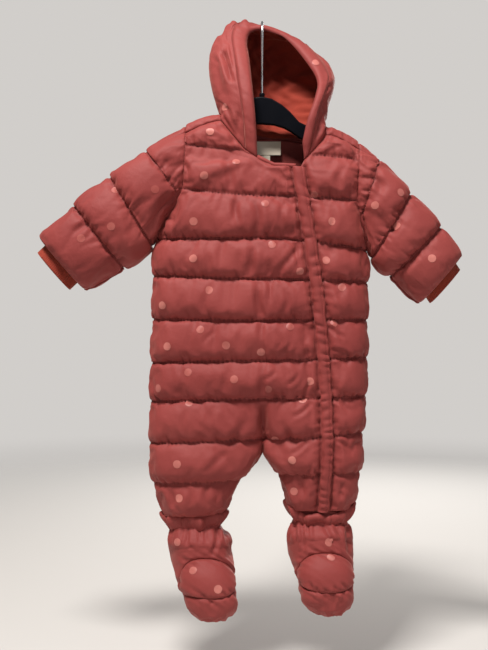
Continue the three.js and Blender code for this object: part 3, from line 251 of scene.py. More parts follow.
def zip_across(row, offset):
    z = flat_rows(row, "left", 0.6 + 0 * row, -1)[..., 2]
    return across_at(row, zip_x(z) + offset)


# %% [markdown]
# ## Wadding
# Between two quilting lines the cloth bulges, and it thins out towards seams and the zip. This loft is the
# start of the cloth simulation, so the channels begin the right size.
# The simulation could raise them from flat, but a sheet that starts near its shape settles in few frames.

# %% Loft of the channels
def channel(row):
    share = np.clip(row - np.floor(row + 1e-6), 0, 1)
    return LOFT * np.maximum(0, np.sin(np.pi * share**1.6)) ** 0.62


def torso_loft(row, side, across, face):
    row, across = np.broadcast_arrays(np.asarray(row, float), np.asarray(across, float))
    x = torso(row, side, across, face)[..., 0]
    z = torso(row, side, across, face)[..., 2]
    from_side = np.abs(x - torso(row, side, 0 * across, face)[..., 0])
    edge = np.where(row < UNDERARM, 0.1, 0.4)
    thin = edge + (1 - edge) * ease(from_side, 0, 24)
    if side == "left" and face < 0:
        near_zip = 0.05 + 0.95 * ease(np.abs(x - zip_x(z)), 9, 19)
        thin = np.where(row >= NECK_BOTTOM, thin * near_zip, thin)
    from_fork = np.abs(x - torso(row, side, 0 * across + 1, face)[..., 0])
    at_neck = np.where(row < NECK_BOTTOM + 0.01, float(face < 0), 0)
    parted = np.where(row > 7, np.clip(body["split"](row), 0, 1), at_neck)
    thin = thin * (1 - 0.65 * parted * (1 - ease(from_fork, 0, 20)))
    return np.where((row <= 0) | (row >= 10), 0, channel(row) * thin)


# %% [markdown]
# ## Cloth
# All panels share one set of points, so two panels meet at exactly the same seam line with the same
# normals. A panel is a set of quads with its own flat UV map in metres, for the weave.

# %% Making an object from points in millimetres
def mesh_object(name, points, faces, material, uvs=None, smooth_shading=True):
    mesh = bpy.data.meshes.new(name)
    mesh.from_pydata((np.asarray(points) * MM).tolist(), [], faces)
    if uvs is not None:
        layer = mesh.uv_layers.new(name="cloth")
        layer.data.foreach_set("uv", np.asarray(uvs, np.float32).reshape(-1))
    mesh.polygons.foreach_set("use_smooth", [smooth_shading] * len(mesh.polygons))
    mesh.materials.append(material)
    obj = bpy.data.objects.new(name, mesh)
    bpy.context.collection.objects.link(obj)
    return obj


# %% The cloth's points and panels
class Cloth:
    def __init__(self):
        self.chunks, self.lofts, self.pins, self.panels, self.count = [], [], [], {}, 0
        self.lines = []

    def grid(self, panel, points, loft=None, pinned=None, quilted=()):
        rows, cols = points.shape[:2]
        self.chunks.append(points.reshape(-1, 3))
        self.lofts.append(np.zeros(rows * cols) if loft is None else loft.reshape(-1))
        self.pins.append(np.zeros(rows * cols, bool) if pinned is None else pinned.reshape(-1))
        ids = self.count + np.arange(rows * cols).reshape(rows, cols)
        self.count += rows * cols
        for row in quilted:
            self.lines.append((panel, ids[row] if np.isscalar(row) else ids[row[0], row[1]]))
        faces = np.stack([ids[:-1, :-1], ids[1:, :-1], ids[1:, 1:], ids[:-1, 1:]], -1).reshape(-1, 4)
        u = np.concatenate([[0], np.cumsum(np.linalg.norm(np.diff(points, axis=1), axis=-1).mean(0))])
        v = np.concatenate([[0], np.cumsum(np.linalg.norm(np.diff(points, axis=0), axis=-1).mean(1))])
        uv = np.stack(np.broadcast_arrays(u[None, :], -v[:, None]), -1) * MM
        corners = np.stack([uv[:-1, :-1], uv[1:, :-1], uv[1:, 1:], uv[:-1, 1:]], -2).reshape(-1, 4, 2)
        self.panels.setdefault(panel, []).append((faces, corners))

    def settle(self):
        points, lofts, pins = (np.concatenate(parts) for parts in (self.chunks, self.lofts, self.pins))
        keys = np.round(points / 0.02).astype(np.int64)
        _, first, inverse = np.unique(keys, axis=0, return_index=True, return_inverse=True)
        inverse = inverse.reshape(-1)
        self.points, self.loft = points[first], np.full(len(first), 1e9)
        np.minimum.at(self.loft, inverse, lofts)
        self.pin = np.zeros(len(first), bool)
        np.logical_or.at(self.pin, inverse, pins)
        self.panels = {
            name: (inverse[np.concatenate([f for f, _ in parts])], np.concatenate([c for _, c in parts]))
            for name, parts in self.panels.items()
        }
        self.lines = [(panel, inverse[ids]) for panel, ids in self.lines]
        self.normals = np.zeros_like(self.points)
        for faces, _ in self.panels.values():
            a, b, c, d = (self.points[faces[:, k]] for k in range(4))
            facing = np.cross(c - a, d - b)
            for k in range(4):
                np.add.at(self.normals, faces[:, k], facing)
        self.normals /= np.linalg.norm(self.normals, axis=1, keepdims=True) + 1e-9

    def piece(self, names, height, fixed=()):
        """Points, normals, faces, UV corners and pins of some panels as one sheet."""
        faces = np.concatenate([self.panels[n][0] for n in names])
        corners = np.concatenate([self.panels[n][1] for n in names])
        used, local = np.unique(faces, return_inverse=True)
        local = local.reshape(faces.shape)
        points = self.points[used] + self.normals[used] * height(self.loft[used])[:, None]
        held = np.isin(used, np.concatenate([self.panels[n][0].reshape(-1) for n in fixed] or [[]]))
        return Sheet(points, self.normals[used], local, corners, self.pin[used] | held)


class Sheet:
    def __init__(self, points, normals, faces, corners, pin):
        self.points, self.normals, self.faces, self.corners, self.pin = points, normals, faces, corners, pin

    def border(self):
        """The points on the sheet's open edges."""
        edges = {}
        for face in self.faces:
            loop = [v for k, v in enumerate(face) if v != face[k - 1]]
            for k, v in enumerate(loop):
                key = (min(v, loop[k - 1]), max(v, loop[k - 1]))
                edges[key] = edges.get(key, 0) + 1
        return np.array(sorted({v for key, n in edges.items() if n == 1 for v in key}))

    def to_object(self, name, material):
        polygons, uvs = [], []
        for face, corner in zip(self.faces.tolist(), self.corners):
            keep = [k for k in range(4) if face[k] != face[k - 1]]
            if len(set(face)) >= 3:
                polygons.append([face[k] for k in keep])
                uvs.extend(corner[keep])
        return mesh_object(name, self.points, polygons, material, uvs)


# %% [markdown]
# ## Laying the panels
# Rows run down the suit and columns across it. The same rows serve front, back and sleeves, so every seam
# has the same points on both sides. About four millimetres between points is fine enough for the small
# folds that the sewing makes.

# %% Rows
def steps(low, high, count):
    return np.linspace(low, high, count + 1)


def chain(*runs):
    return np.concatenate([runs[0], *[run[1:] for run in runs[1:]]])


def channel_rows(top, count, draw=0.09):
    """Rows of one channel, closer together near its two sewn lines."""
    share = steps(0, 1, count)
    return top + share - draw * np.sin(2 * np.pi * share)


STRAP_ROWS = chain(steps(0, 1, 12), steps(1, 1.15, 2), steps(1.15, NECK_BOTTOM, 3))
TRUNK_ROWS = chain(
    steps(NECK_BOTTOM, 2, 10), *[channel_rows(k, 14) for k in range(2, 8)],
    steps(8, CROTCH, 3), steps(CROTCH, 9, 10), steps(9, 10, 12),
)
ALL_ROWS = chain(STRAP_ROWS, TRUNK_ROWS)
RIDGE_ROWS = steps(-1, 0, 16)
ARM_ROWS = ALL_ROWS[ALL_ROWS <= UNDERARM + 1e-9]
suit = Cloth()


def lay(panel, rows, side, face, across):
    rows, across = np.broadcast_arrays(rows[:, None], across)
    sewn = np.abs(rows - np.round(rows)) < 1e-6
    level = sewn[:, 0] & (rows[:, 0] > 0.5) & (rows[:, 0] < 9.5)
    quilted = np.flatnonzero(level) if "edge" not in panel and panel != "zip" else ()
    suit.grid(panel, torso(rows, side, across, face), torso_loft(rows, side, across, face), sewn, quilted)


# %% Front and zip strips
lay("front_main", ALL_ROWS, "right", -1, steps(0, 1, 36)[None, :])
offsets = (-FLAP_HALF_WIDTH, -ZIP_HALF_WIDTH, ZIP_HALF_WIDTH, FLAP_HALF_WIDTH)
to_zip = np.stack([zip_across(TRUNK_ROWS, offset) for offset in offsets], 1)
lay("front_main", TRUNK_ROWS, "left", -1, mix(1, to_zip[:, :1], steps(0, 1, 20)[None, :]))
for k, panel in enumerate(["main_edge", "zip", "side_edge"]):
    strip = mix(to_zip[:, k : k + 1], to_zip[:, k + 1 : k + 2], steps(0, 1, 3)[None, :])
    lay(panel, TRUNK_ROWS, "left", -1, strip)
side_cols = steps(0, 1, 20)[None, :]
strap_rows = STRAP_ROWS[STRAP_ROWS <= HOOD_FRONT_END + 1e-9]
lay("front_side", strap_rows, "left", -1, 1 - side_cols)
lay("front_side", TRUNK_ROWS, "left", -1, mix(to_zip[:, 3:], 0, side_cols))
upper_line = torso(HOOD_FRONT_END, "left", 1 - side_cols, -1)[0]
lower_line = torso(NECK_BOTTOM, "left", mix(to_zip[:1, 3:], 0, side_cols), -1)[0]
down = steps(0, 1, 3)[:, None]
joined = mix(upper_line[None], lower_line[None], down[..., None])
joined_loft = mix(channel(HOOD_FRONT_END), channel(NECK_BOTTOM), down) * 0.8
joined_loft = joined_loft * np.sin(np.pi * side_cols) ** 0.5
suit.grid("front_side", joined, joined_loft)
corner = torso(HOOD_FRONT_END, "left", 1.0, -1)
zip_end = torso(NECK_BOTTOM, "left", mix(to_zip[:1, 2:3], to_zip[:1, 3:], steps(0, 1, 3)[None, :]), -1)[0]
suit.grid("side_edge", mix(corner[None, None], zip_end[None], steps(0, 1, 3)[:, None, None]))

# %% Back
half = steps(0, 1, 28)
facing_from = 21
shoulder_rows = chain(RIDGE_ROWS, ALL_ROWS[ALL_ROWS <= 0.5 + 1e-9])
facing_rows = ALL_ROWS[(ALL_ROWS >= 0.5 - 1e-9) & (ALL_ROWS <= NECK_BOTTOM + 1e-9)]
for side, order in (("right", -1), ("left", 1)):
    for panel, rows, cols in (
        ("back", shoulder_rows, half),
        ("back", facing_rows, half[: facing_from + 1]),
        ("back_neck", facing_rows, half[facing_from:]),
        ("back", TRUNK_ROWS, half),
    ):
        lay(panel, rows, side, 1, cols[::order][None, :])

# %% [markdown]
# ## Sleeves
# A sleeve grows out of its armhole's own points. Its first channel is a wedge: the quilting line meets the
# armhole under the arm, where the cloth folds on itself.
# A tube pushed into the body would be simpler, but the real seam is one line of stitches through both
# cloths, and shared points give that line.

# %% Sleeve tables
SLEEVES = {
    "right": columns({
        "at": [1, 2, 3, 4], "front": [34, 32, 30, 23], "back": [30, 29, 27, 21],
        "topX": [-164, -215, -266, -314.5], "topZ": [-182.5, -218.5, -258.5, -304],
        "bottomX": [-118, -155.5, -197, -253.5], "bottomZ": [-243, -314.5, -345, -375],
    }),
    "left": columns({
        "at": [1, 2, 3, 4], "front": [34, 32, 30, 23], "back": [30, 29, 27, 21],
        "topX": [164.5, 208.5, 252, 281], "topZ": [-194.5, -241.5, -288.5, -330],
        "bottomX": [139, 155, 183, 225], "bottomZ": [-271, -332, -357, -394.5],
    }),
}
FIRST_LINE_END = {"right": math.radians(126), "left": math.radians(137)}
SLEEVE_ROWS = chain(*[channel_rows(k, 12) for k in range(4)])
MITT_FROM = 3
NO_ROOM, FULL_ROOM = 12, 55


def sleeve_section(sleeve, at, angle, width=1, depth=1):
    at, angle, width, depth = np.broadcast_arrays(*[np.asarray(v, float) for v in (at, angle, width, depth)])
    top_x, bottom_x = sleeve["topX"](at), sleeve["bottomX"](at)
    top_z, bottom_z = sleeve["topZ"](at), sleeve["bottomZ"](at)
    out = np.sin(angle)
    reach = np.where(out > 0, -sleeve["front"](at), sleeve["back"](at))
    x = (top_x + bottom_x) / 2 + (top_x - bottom_x) / 2 * width * np.cos(angle)
    z = (top_z + bottom_z) / 2 + (top_z - bottom_z) / 2 * width * np.cos(angle)
    return np.stack([x, depth * reach * np.abs(out) ** 0.85, z], -1)


def unit(vectors):
    return vectors / (np.linalg.norm(vectors, axis=-1, keepdims=True) + 1e-12)


def sleeve_axis(side):
    """The way a sleeve hangs."""
    sleeve = SLEEVES[side]
    return unit(sum(sleeve_section(sleeve, 3, a) - sleeve_section(sleeve, 2, a) for a in (0, np.pi)))


def lengths_along(line):
    """How far each point of a line lies from its start, measured along it."""
    return np.concatenate([[0], np.cumsum(np.linalg.norm(np.diff(line, axis=0), axis=1))])


# %% Sleeves
def lay_sleeve(side):
    sleeve, line_end = SLEEVES[side], FIRST_LINE_END[side]
    turn = np.pi * (ARM_ROWS + 0.35) / (UNDERARM + 0.35)
    ridge = RIDGE_ROWS[::-1][1:]
    loop = np.concatenate([
        torso(ARM_ROWS, side, 0, -1), torso(ARM_ROWS[-2::-1], side, 0, 1), torso(ridge, side, 0, 1),
    ])
    angle = np.concatenate([turn, -turn[-2::-1], turn[0] * (-1 - 2 * ridge)])
    behind = np.arange(len(loop))
    behind = (behind >= len(ARM_ROWS) - 1) & (behind <= 2 * len(ARM_ROWS) - 2)
    axis = sleeve_axis(side)
    run = unit(np.roll(loop, -1, 0) - np.roll(loop, 1, 0))
    away = unit(axis - run * (run @ axis)[:, None])
    share = np.abs(angle) / line_end
    way = 1 - np.cos(np.pi / 2 * np.minimum(share, 1))
    line = sleeve_section(sleeve, 1, angle)
    line[:, 0] = mix(sleeve["topX"](1.0), sleeve["bottomX"](1.0), way)
    line[:, 2] = mix(sleeve["topZ"](1.0), sleeve["bottomZ"](1.0), way)
    line = np.where((share > 1)[:, None], loop + 5 * away, line)
    at = SLEEVE_ROWS[:, None]
    first = mix(loop[None], line[None], np.clip(at, 0, 1)[..., None])
    second_line = sleeve_section(sleeve, 2, angle)
    second = mix(line[None], second_line[None], np.clip(at - 1, 0, 1)[..., None])
    rest = sleeve_section(sleeve, np.maximum(at, 2), angle[None])
    points = np.where((at <= 1)[..., None], first, np.where((at < 2)[..., None], second, rest))
    at_edge = np.abs(np.cos(angle)) ** 6
    first_room, second_room = (
        ease(np.linalg.norm(gap, axis=1), NO_ROOM, FULL_ROOM) for gap in (line - loop, second_line - line)
    )
    room = np.where(at <= 1, first_room, np.where(at < 2, second_room, 1))
    loft = room * np.where(at < 1, 0.55, 1) * channel(at) * (1 - 0.6 * at_edge)
    loft = np.where((at <= 1) & (share > 1), -0.75, loft)
    loft = np.where((at == 0) | (at >= 4), np.minimum(loft, 0), loft)
    sewn = np.broadcast_to(np.abs(at - np.round(at)) < 1e-6, loft.shape)
    order = 1 if side == "right" else -1
    points, loft, sewn, behind = points[:, ::order], loft[:, ::order], sewn[:, ::order], behind[::order]
    split = int(np.argmin(np.abs(SLEEVE_ROWS - MITT_FROM)))
    under = np.flatnonzero(share[::order] > 1)
    quilted = [(12, slice(0, under[0])), (12, slice(under[-1] + 1, None)), 24, 36]
    suit.grid(f"sleeve_{side}", points[: split + 1], loft[: split + 1], sewn[: split + 1], quilted)
    where = np.flatnonzero(behind)
    low, high = where[0], where[-1]
    for name, cols in (("", slice(0, low + 1)), ("_end", slice(low, high + 1)), ("", slice(high, None))):
        suit.grid(f"sleeve_{side}{name}", points[split:, cols], loft[split:, cols], sewn[split:, cols])


lay_sleeve("right")
lay_sleeve("left")

# %% [markdown]
# ## Hood
# Each half of the hood is a fan of ribs. A rib is two smooth arcs: from the edge of the face round to the
# widest place, and from there to the centre seam behind.
# The real hood is two side panels with a band sewn round the face. A bent ball would have no seams, while
# the ribs end on the neckline's own points, so hood and neck join as they are sewn.

# %% Hood tables
HOOD = {
    "right": columns({
        "at": [1, 2, 3, 4, 5, 6, 7],
        "frontX": [-8, -10.5, -14, -18, -21, -14, 4], "frontY": [-35, -36, -27, -9, 12, 24, 27],
        "frontZ": [-166, -130, -92, -52, -21, -3, 0],
        "sideX": [-61, -66, -70, -69, -57, -39, -16], "sideY": [7, 16, 24, 31, 37, 41, 46],
        "sideZ": [-108, -84, -57, -30, -4, 13, 17],
    }),
    "left": columns({
        "at": [1, 2, 3, 4, 5, 6, 7],
        "frontX": [55, 62, 73, 77, 61, 33, 4], "frontY": [-35, -36, -27, -11, 8, 24, 27],
        "frontZ": [-174, -143, -110, -82, -48, -11, 0],
        "sideX": [88.5, 92, 98, 99, 84, 44, -16], "sideY": [7, 16, 24, 31, 37, 41, 46],
        "sideZ": [-129, -108, -86, -66, -40, -7, 17],
    }),
}
HOOD_SEAM = columns({
    "at": [1, 2, 3, 4, 5, 6, 7], "x": [12, 8, 4, 0, -4, -10, -16],
    "y": [46, 64, 76, 82, 82, 78, 70], "z": [-142, -120, -92, -60, -30, -4, 10],
})
HOOD_BAND_WIDTH, HOOD_LOFT = 25.0, 3.0


def bezier(a, b, c, d, shares):
    t = np.linspace(0, 1, 161)[:, None]
    run = (1 - t) ** 3 * a + 3 * (1 - t) ** 2 * t * b + 3 * (1 - t) * t * t * c + t**3 * d
    along = lengths_along(run)
    at = np.asarray(shares) * along[-1]
    return np.stack([np.interp(at, along, run[:, k]) for k in range(3)], -1), along[-1]


def hood_rib(hood, rib, index):
    front, side = (np.array([float(hood[k + a](rib)) for a in "XYZ"]) for k in ("front", "side"))
    seam = np.array([float(HOOD_SEAM[a](rib)) for a in "xyz"])
    out, behind = (side - front) * [0.55, 0.12, 0.55], (side - seam) * [0.55, 0, 0.55]
    rise, fall = np.array([0, (side[1] - front[1]) * 0.55, 0]), np.array([0, (seam[1] - side[1]) * 0.55, 0])
    _, length = bezier(front, front + out, side - rise, side, [0])
    band = HOOD_BAND_WIDTH / length
    share = np.where(index < 2, band * index / 2, band + (1 - band) * (index - 2) / 4)
    near, _ = bezier(front, front + out, side - rise, side, np.clip(share, 0, 1))
    far, _ = bezier(side, side + fall, seam + behind, seam, np.clip((index - 6) / 3, 0, 1))
    return np.where((index <= 6)[:, None], near, far)


# %% Hood panels
def lay_hood(side):
    front_rows = STRAP_ROWS[STRAP_ROWS <= HOOD_FRONT_END + 1e-9][::-1]
    back = ALL_ROWS[(ALL_ROWS > 1e-9) & (ALL_ROWS <= 0.5 + 1e-9)]
    neck = np.concatenate([
        torso(front_rows, side, 1, -1), torso(RIDGE_ROWS[1:], side, 1, 1), torso(back, side, 1, 1),
    ])
    index = np.concatenate([
        np.where(front_rows >= 1, (1.15 - front_rows) / 0.075, 2 + (1 - front_rows) * 2),
        4 + (RIDGE_ROWS[1:] + 1) * 4, 8 + back * 2,
    ])
    ribs = steps(7, 0, 42)
    curves = np.array([hood_rib(HOOD[side], max(rib, 1), index) for rib in ribs])
    points = mix(neck[None], curves, np.minimum(ribs, 1)[:, None, None])
    open_end = np.minimum(1, np.minimum(ribs, 7 - ribs))[:, None]
    on_panel = HOOD_LOFT * np.sin(np.pi * np.clip((index - 2) / 7, 0, 1))
    loft = np.where(index < 2, index * 2, on_panel)[None] * open_end
    order = -1 if side == "right" else 1
    for panel, cols in (("hood_band", index <= 2 + 1e-9), (f"hood_{side}", index >= 2 - 1e-9)):
        suit.grid(panel, points[:, cols][:, ::order], loft[:, cols][:, ::order])


lay_hood("right")
lay_hood("left")

# %% Seams settle
suit.settle()
print("the suit has", len(suit.points), "points in", len(suit.panels), "panels")

# %% [markdown]
# ## Finishes
# The shell is a thin, tightly woven polyester with a faint sheen. Its fine weave sits on the cloth's flat
# map, so the threads follow each panel, and slow colour changes sit in space. The weave and the fine
# crumple of washed cloth are node groups that only give heights and masks, so every material keeps its own
# shader. Seams and sewn valleys also get painted shade: the script knows how far it presses each point in,
# stores that as `pressed`, and the cloth's base colour is darkened with it, as a painted shadow in the
# valleys.


# %% A small helper for node trees
def wire(tree, kind, inputs=None, **settings):
    node = tree.nodes.new(kind)
    for key, value in settings.items():
        setattr(node, key, value)
    for key, value in (inputs or {}).items():
        if isinstance(value, bpy.types.NodeSocket):
            tree.links.new(value, node.inputs[key])
        else:
            node.inputs[key].default_value = value
    return node


def srgb(red, green, blue):
    def linear(v):
        v /= 255
        return v / 12.92 if v <= 0.04045 else ((v + 0.055) / 1.055) ** 2.4

    return (linear(red), linear(green), linear(blue), 1)


def new_finish(name, constants):
    """A material with some constants on its shader."""
    material = bpy.data.materials.new(name)
    material.use_nodes = True
    shader = material.node_tree.nodes["Principled BSDF"]
    for key, value in constants.items():
        shader.inputs[key].default_value = value
    return material, material.node_tree, shader


def maths(tree, operation, *values):
    return wire(tree, "ShaderNodeMath", dict(enumerate(values)), operation=operation).outputs[0]


def noise(tree, place, scale, detail, distortion=0.0):
    inputs = {"Vector": place, "Scale": scale, "Detail": detail, "Distortion": distortion}
    return wire(tree, "ShaderNodeTexNoise", inputs).outputs["Fac"]


def ramp(tree, value, low, high, to_low=0.0, to_high=1.0, **settings):
    inputs = {"Value": value, "From Min": low, "From Max": high, "To Min": to_low, "To Max": to_high}
    return wire(tree, "ShaderNodeMapRange", inputs, **settings).outputs[0]


def bumped(tree, height, strength, distance, **more):
    inputs = {"Height": height, "Strength": strength, "Distance": distance, **more}
    return wire(tree, "ShaderNodeBump", inputs).outputs[0]


def group(name, outputs, inputs=(("Vector", "NodeSocketVector"),)):
    tree = bpy.data.node_groups.new(name, "ShaderNodeTree")
    for label, kind in inputs:
        tree.interface.new_socket(label, in_out="INPUT", socket_type=kind)
    for label in outputs:
        tree.interface.new_socket(label, in_out="OUTPUT", socket_type="NodeSocketFloat")
    return tree, tree.nodes.new("NodeGroupInput"), tree.nodes.new("NodeGroupOutput")


# %% Plain weave: threads over and under each other
weave, given, result = group("plain weave", ["Height", "Thread"])
split = wire(weave, "ShaderNodeSeparateXYZ", {0: given.outputs[0]})
THREAD_PITCH = 0.0009
waves = []
for axis in "XY":
    scaled = maths(weave, "MULTIPLY", split.outputs[axis], math.pi / THREAD_PITCH)
    waves.append(maths(weave, "SINE", scaled))
weave.links.new(maths(weave, "MULTIPLY", *waves), result.inputs["Height"])
weave.links.new(noise(weave, given.outputs[0], 260.0, 3.0), result.inputs["Thread"])

# %% Crumple: the fine creases of cloth that has been worn and washed
crumple, given, result = group("crumple", ["Height", "Tone"])
soft = noise(crumple, given.outputs[0], 62.0, 4.0, 0.6)
sharp = noise(crumple, given.outputs[0], 150.0, 2.0)
blend = wire(crumple, "ShaderNodeMix", {"Factor": 0.35, 2: soft, 3: sharp})
crumple.links.new(blend.outputs[0], result.inputs["Height"])
crumple.links.new(noise(crumple, given.outputs[0], 9.0, 3.0), result.inputs["Tone"])


# %% Cloth materials
def cloth_material(name, dark, light, rough, sheen, weave_height, crumple_height,
                   sheen_tint=(1, 1, 1, 1), contrast=1.0):
    material, tree, shader = new_finish(name, {
        "Roughness": rough, "Sheen Weight": sheen, "Sheen Roughness": 0.45, "Sheen Tint": sheen_tint,
        "Specular IOR Level": 0.2,
    })
    place = wire(tree, "ShaderNodeTexCoord").outputs["Object"]
    flat = wire(tree, "ShaderNodeUVMap", uv_map="cloth").outputs[0]
    threads = wire(tree, "ShaderNodeGroup", node_tree=weave)
    creases = wire(tree, "ShaderNodeGroup", node_tree=crumple)
    tree.links.new(flat, threads.inputs[0])
    tree.links.new(place, creases.inputs[0])
    thread_tone = maths(tree, "MULTIPLY", threads.outputs["Height"], threads.outputs["Thread"])
    tones = maths(tree, "MULTIPLY_ADD", thread_tone, 0.3, creases.outputs["Tone"])
    spread = ramp(tree, tones, 0.5 - 0.5 / contrast, 0.5 + 0.5 / contrast)
    colour = wire(tree, "ShaderNodeMix", {"Factor": spread, 6: dark, 7: light}, data_type="RGBA")
    # Painted shade: where the `pressed` attribute is high, along seams and sewn valleys, the base colour is
    # mixed towards a third of the dark tone, standing in for shadow
    pressed = wire(tree, "ShaderNodeAttribute", attribute_name="pressed").outputs["Fac"]
    painted_valley_shade = ramp(tree, pressed, 0.4, 3.4, 0.0, 0.5)
    painted_shade_colour = [0.3 * v for v in dark[:3]] + [1]
    shaded = wire(tree, "ShaderNodeMix", {"Factor": painted_valley_shade, 6: colour.outputs[2], 7: painted_shade_colour}, data_type="RGBA")
    tree.links.new(shaded.outputs[2], shader.inputs["Base Color"])
    fine = bumped(tree, threads.outputs["Height"], 0.6, weave_height)
    both = bumped(tree, creases.outputs["Height"], 0.8, crumple_height, Normal=fine)
    tree.links.new(both, shader.inputs["Normal"])
    return material


shell = cloth_material(
    "shell cloth", srgb(125, 48, 46), srgb(156, 71, 67), 0.6, 0.22, 0.00006, 0.0013, srgb(255, 165, 150)
)
lining = cloth_material(
    "hood lining", srgb(116, 34, 25), srgb(152, 56, 39), 0.8, 0.3, 0.00006, 0.0016, srgb(255, 190, 160)
)
label_cloth = cloth_material(
    "label cloth", srgb(214, 198, 176), srgb(234, 222, 204), 0.75, 0.1, 0.00005, 0.0004
)


# %% [markdown]
# ## Swelling the channels
# A sewn channel is two lines of stitches with wadding pressing the cloth out between them. The cloth
# simulation does just that: the stitched rows and the seams are pinned, the cloth between them is a little
# longer than the space it has, and a gentle pressure pushes from inside. The spare length gathers into the
# short puckers that real quilting shows.
# Raised by a formula alone, every channel would look like the next one.

# %% Threads pull the sewn rows in and gather them a little
sewn = np.unique(np.concatenate([ids for _, ids in suit.lines]))
x, y, z = suit.points[sewn].T
suit.points[sewn, 2] += 0.55 * (np.sin(x / 2.3 + z / 7.1) + 0.7 * np.sin(x / 4.1 + z / 3.3 + y / 5))


# %% Making and simulating the sheets
WADDED, FRAMES = [], 16


def on_top(loft):
    return HALF_CLOTH + 0.9 * np.maximum(loft, -0.75)


def mitt_height(loft):
    return 3.6 + loft


def at_height(height):
    """A height over the cloth's middle that is the same all over the sheet."""

    def place(loft):
        return height + 0 * loft

    return place


def wadded_sheet(cloth, name, panels, growth, pressure, cap, height=on_top, fixed=()):
    """A sheet that the simulation will grow and press out, by at most `cap` mm."""
    sheet = cloth.piece(panels, height, fixed)
    obj = sheet.to_object(name, shell)
    pinned = np.union1d(np.flatnonzero(sheet.pin), sheet.border())
    WADDED.append((obj, sheet, pinned, growth, pressure, cap))
    return obj, sheet


def swell_all():
    scene = bpy.context.scene
    for obj, sheet, pinned, growth, pressure, cap in WADDED:
        group = obj.vertex_groups.new(name="sewn")
        group.add(pinned.tolist(), 1.0, "REPLACE")
        modifier = obj.modifiers.new("wadding", "CLOTH")
        settings = modifier.settings
        settings.quality = 4
        settings.vertex_group_mass = "sewn"
        settings.use_pressure = True
        settings.uniform_pressure_force = pressure
        settings.effector_weights.gravity = 0
        settings.shrink_min = -growth
        settings.tension_stiffness = settings.compression_stiffness = 12
        settings.shear_stiffness = 4
        settings.bending_stiffness = 0.08
        settings.air_damping = 4
        modifier.collision_settings.use_collision = False
        modifier.point_cache.frame_start, modifier.point_cache.frame_end = 1, FRAMES
    for step in range(1, FRAMES + 1):
        scene.frame_set(step)
    graph = bpy.context.evaluated_depsgraph_get()
    for obj, sheet, pinned, growth, pressure, cap in WADDED:
        moved = np.empty(len(sheet.points) * 3)
        obj.evaluated_get(graph).data.vertices.foreach_get("co", moved)
        shift = moved.reshape(-1, 3) / MM - sheet.points
        far = np.linalg.norm(shift, axis=1)
        limited = cap * np.tanh(far / cap)
        shift *= (limited / np.maximum(far, 1e-9))[:, None]
        sheet.points = sheet.points + shift
        most, mean = round(float(far.max()), 1), round(float(far.mean()), 2)
        print(obj.name, "swelled by up to", most, "mm, mean", mean)
    for obj, *_ in WADDED:
        obj.modifiers.clear()
        obj.vertex_groups.clear()
    scene.frame_set(1)
    for obj, sheet, *_ in WADDED:
        obj.data.vertices.foreach_set("co", (sheet.points * MM).reshape(-1))
        obj.data.update()


def subdivide(obj):
    smoother = obj.modifiers.new("smooth", "SUBSURF")
    smoother.levels = smoother.render_levels = 1
    smoother.boundary_smooth = "PRESERVE_CORNERS"


def add_wall(obj, thickness):
    wall = obj.modifiers.new("thickness", "SOLIDIFY")
    wall.thickness, wall.offset = thickness * MM, -1


def thicken(obj, thickness):
    subdivide(obj)
    add_wall(obj, thickness)


def single_sheet(points, height=0.0):
    """One grid of points as a sheet of its own."""
    cloth = Cloth()
    cloth.grid("sheet", points)
    cloth.settle()
    return cloth.piece(["sheet"], at_height(height))


# %% The sheets of the body, the sleeves and the hood
padded = {}
for name, panels, *swelling in (
    ("front_main", ["front_main", "main_edge"], 0.07, 5, 6, on_top, ["main_edge"]),
    ("front_side", ["front_side", "side_edge"], 0.07, 5, 6, on_top, ["side_edge"]),
    ("back", ["back", "back_neck"], 0.07, 5, 6),
    ("hood_right", ["hood_right"], 0.035, 2, 3),
    ("hood_left", ["hood_left"], 0.035, 2, 3),
    ("hood_band", ["hood_band"], 0.03, 2, 2),
):
    padded[name] = wadded_sheet(suit, f"{name}_cloth", panels, *swelling)
for side in ("right", "left"):
    name, end = f"sleeve_{side}", f"sleeve_{side}_end"
    padded[name] = wadded_sheet(suit, f"{name}_cloth", [name, end], 0.07, 5, 5, fixed=[end])
    padded[f"mitt_{side}"] = wadded_sheet(suit, f"mitt_{side}_cloth", [end], 0.04, 2, 1.5, mitt_height)

# %% [markdown]
# ## Booties
# A bootie is four panels: an upper gathered into the ankle's elastic, a round cap over the toes, a toe
# panel under it and a flat sole. It could be modelled by hand, but rings of points from the ankle to the toe
# keep its seams on the same points as its panels. The gathers are waves round the ring that are deep at the
# elastic and die out over the instep.

# %% Booties
BOOTIE_RINGS = {
    "right": {
        "at": [0, 1, 2, 3, 4, 5, 6, 7],
        "outerX": [-126.5, -127.5, -129.5, -126, -119.5, -112, -100, -85],
        "innerX": [-62, -58.5, -47.5, -45, -42, -38.5, -39.5, -54],
        "frontY": [-18, -21, -31, -32, -37, -52, -60, -56],
        "frontZ": [-692, -713, -729.5, -737, -750, -773, -798, -821],
        "backY": [18, 21, 32, 38, 16, -4, -24, -42],
        "backZ": [-692, -713, -738, -774, -797, -817, -830, -834],
    },
    "left": {
        "at": [0, 1, 2, 3, 4, 5, 6, 7],
        "outerX": [117.5, 121.2, 123, 124.5, 124.5, 124, 119.5, 108],
        "innerX": [47.5, 43.4, 39, 41, 48, 51.5, 59.5, 75],
        "frontY": [-18, -21, -31, -32, -38, -53, -61, -56],
        "frontZ": [-686, -708, -720, -727, -742, -764, -790, -813],
        "backY": [18, 21, 32, 38, 17, -3, -23, -42],
        "backZ": [-686, -708, -732, -766, -788, -808, -822, -826],
    },
}
OPPOSITES = (("outerX", "innerX"), ("frontY", "backY"), ("frontZ", "backZ"))
CAP_RING, CAP_REACH, TOE_TIP, HEEL_RING = 4, 2.0, 8, 3
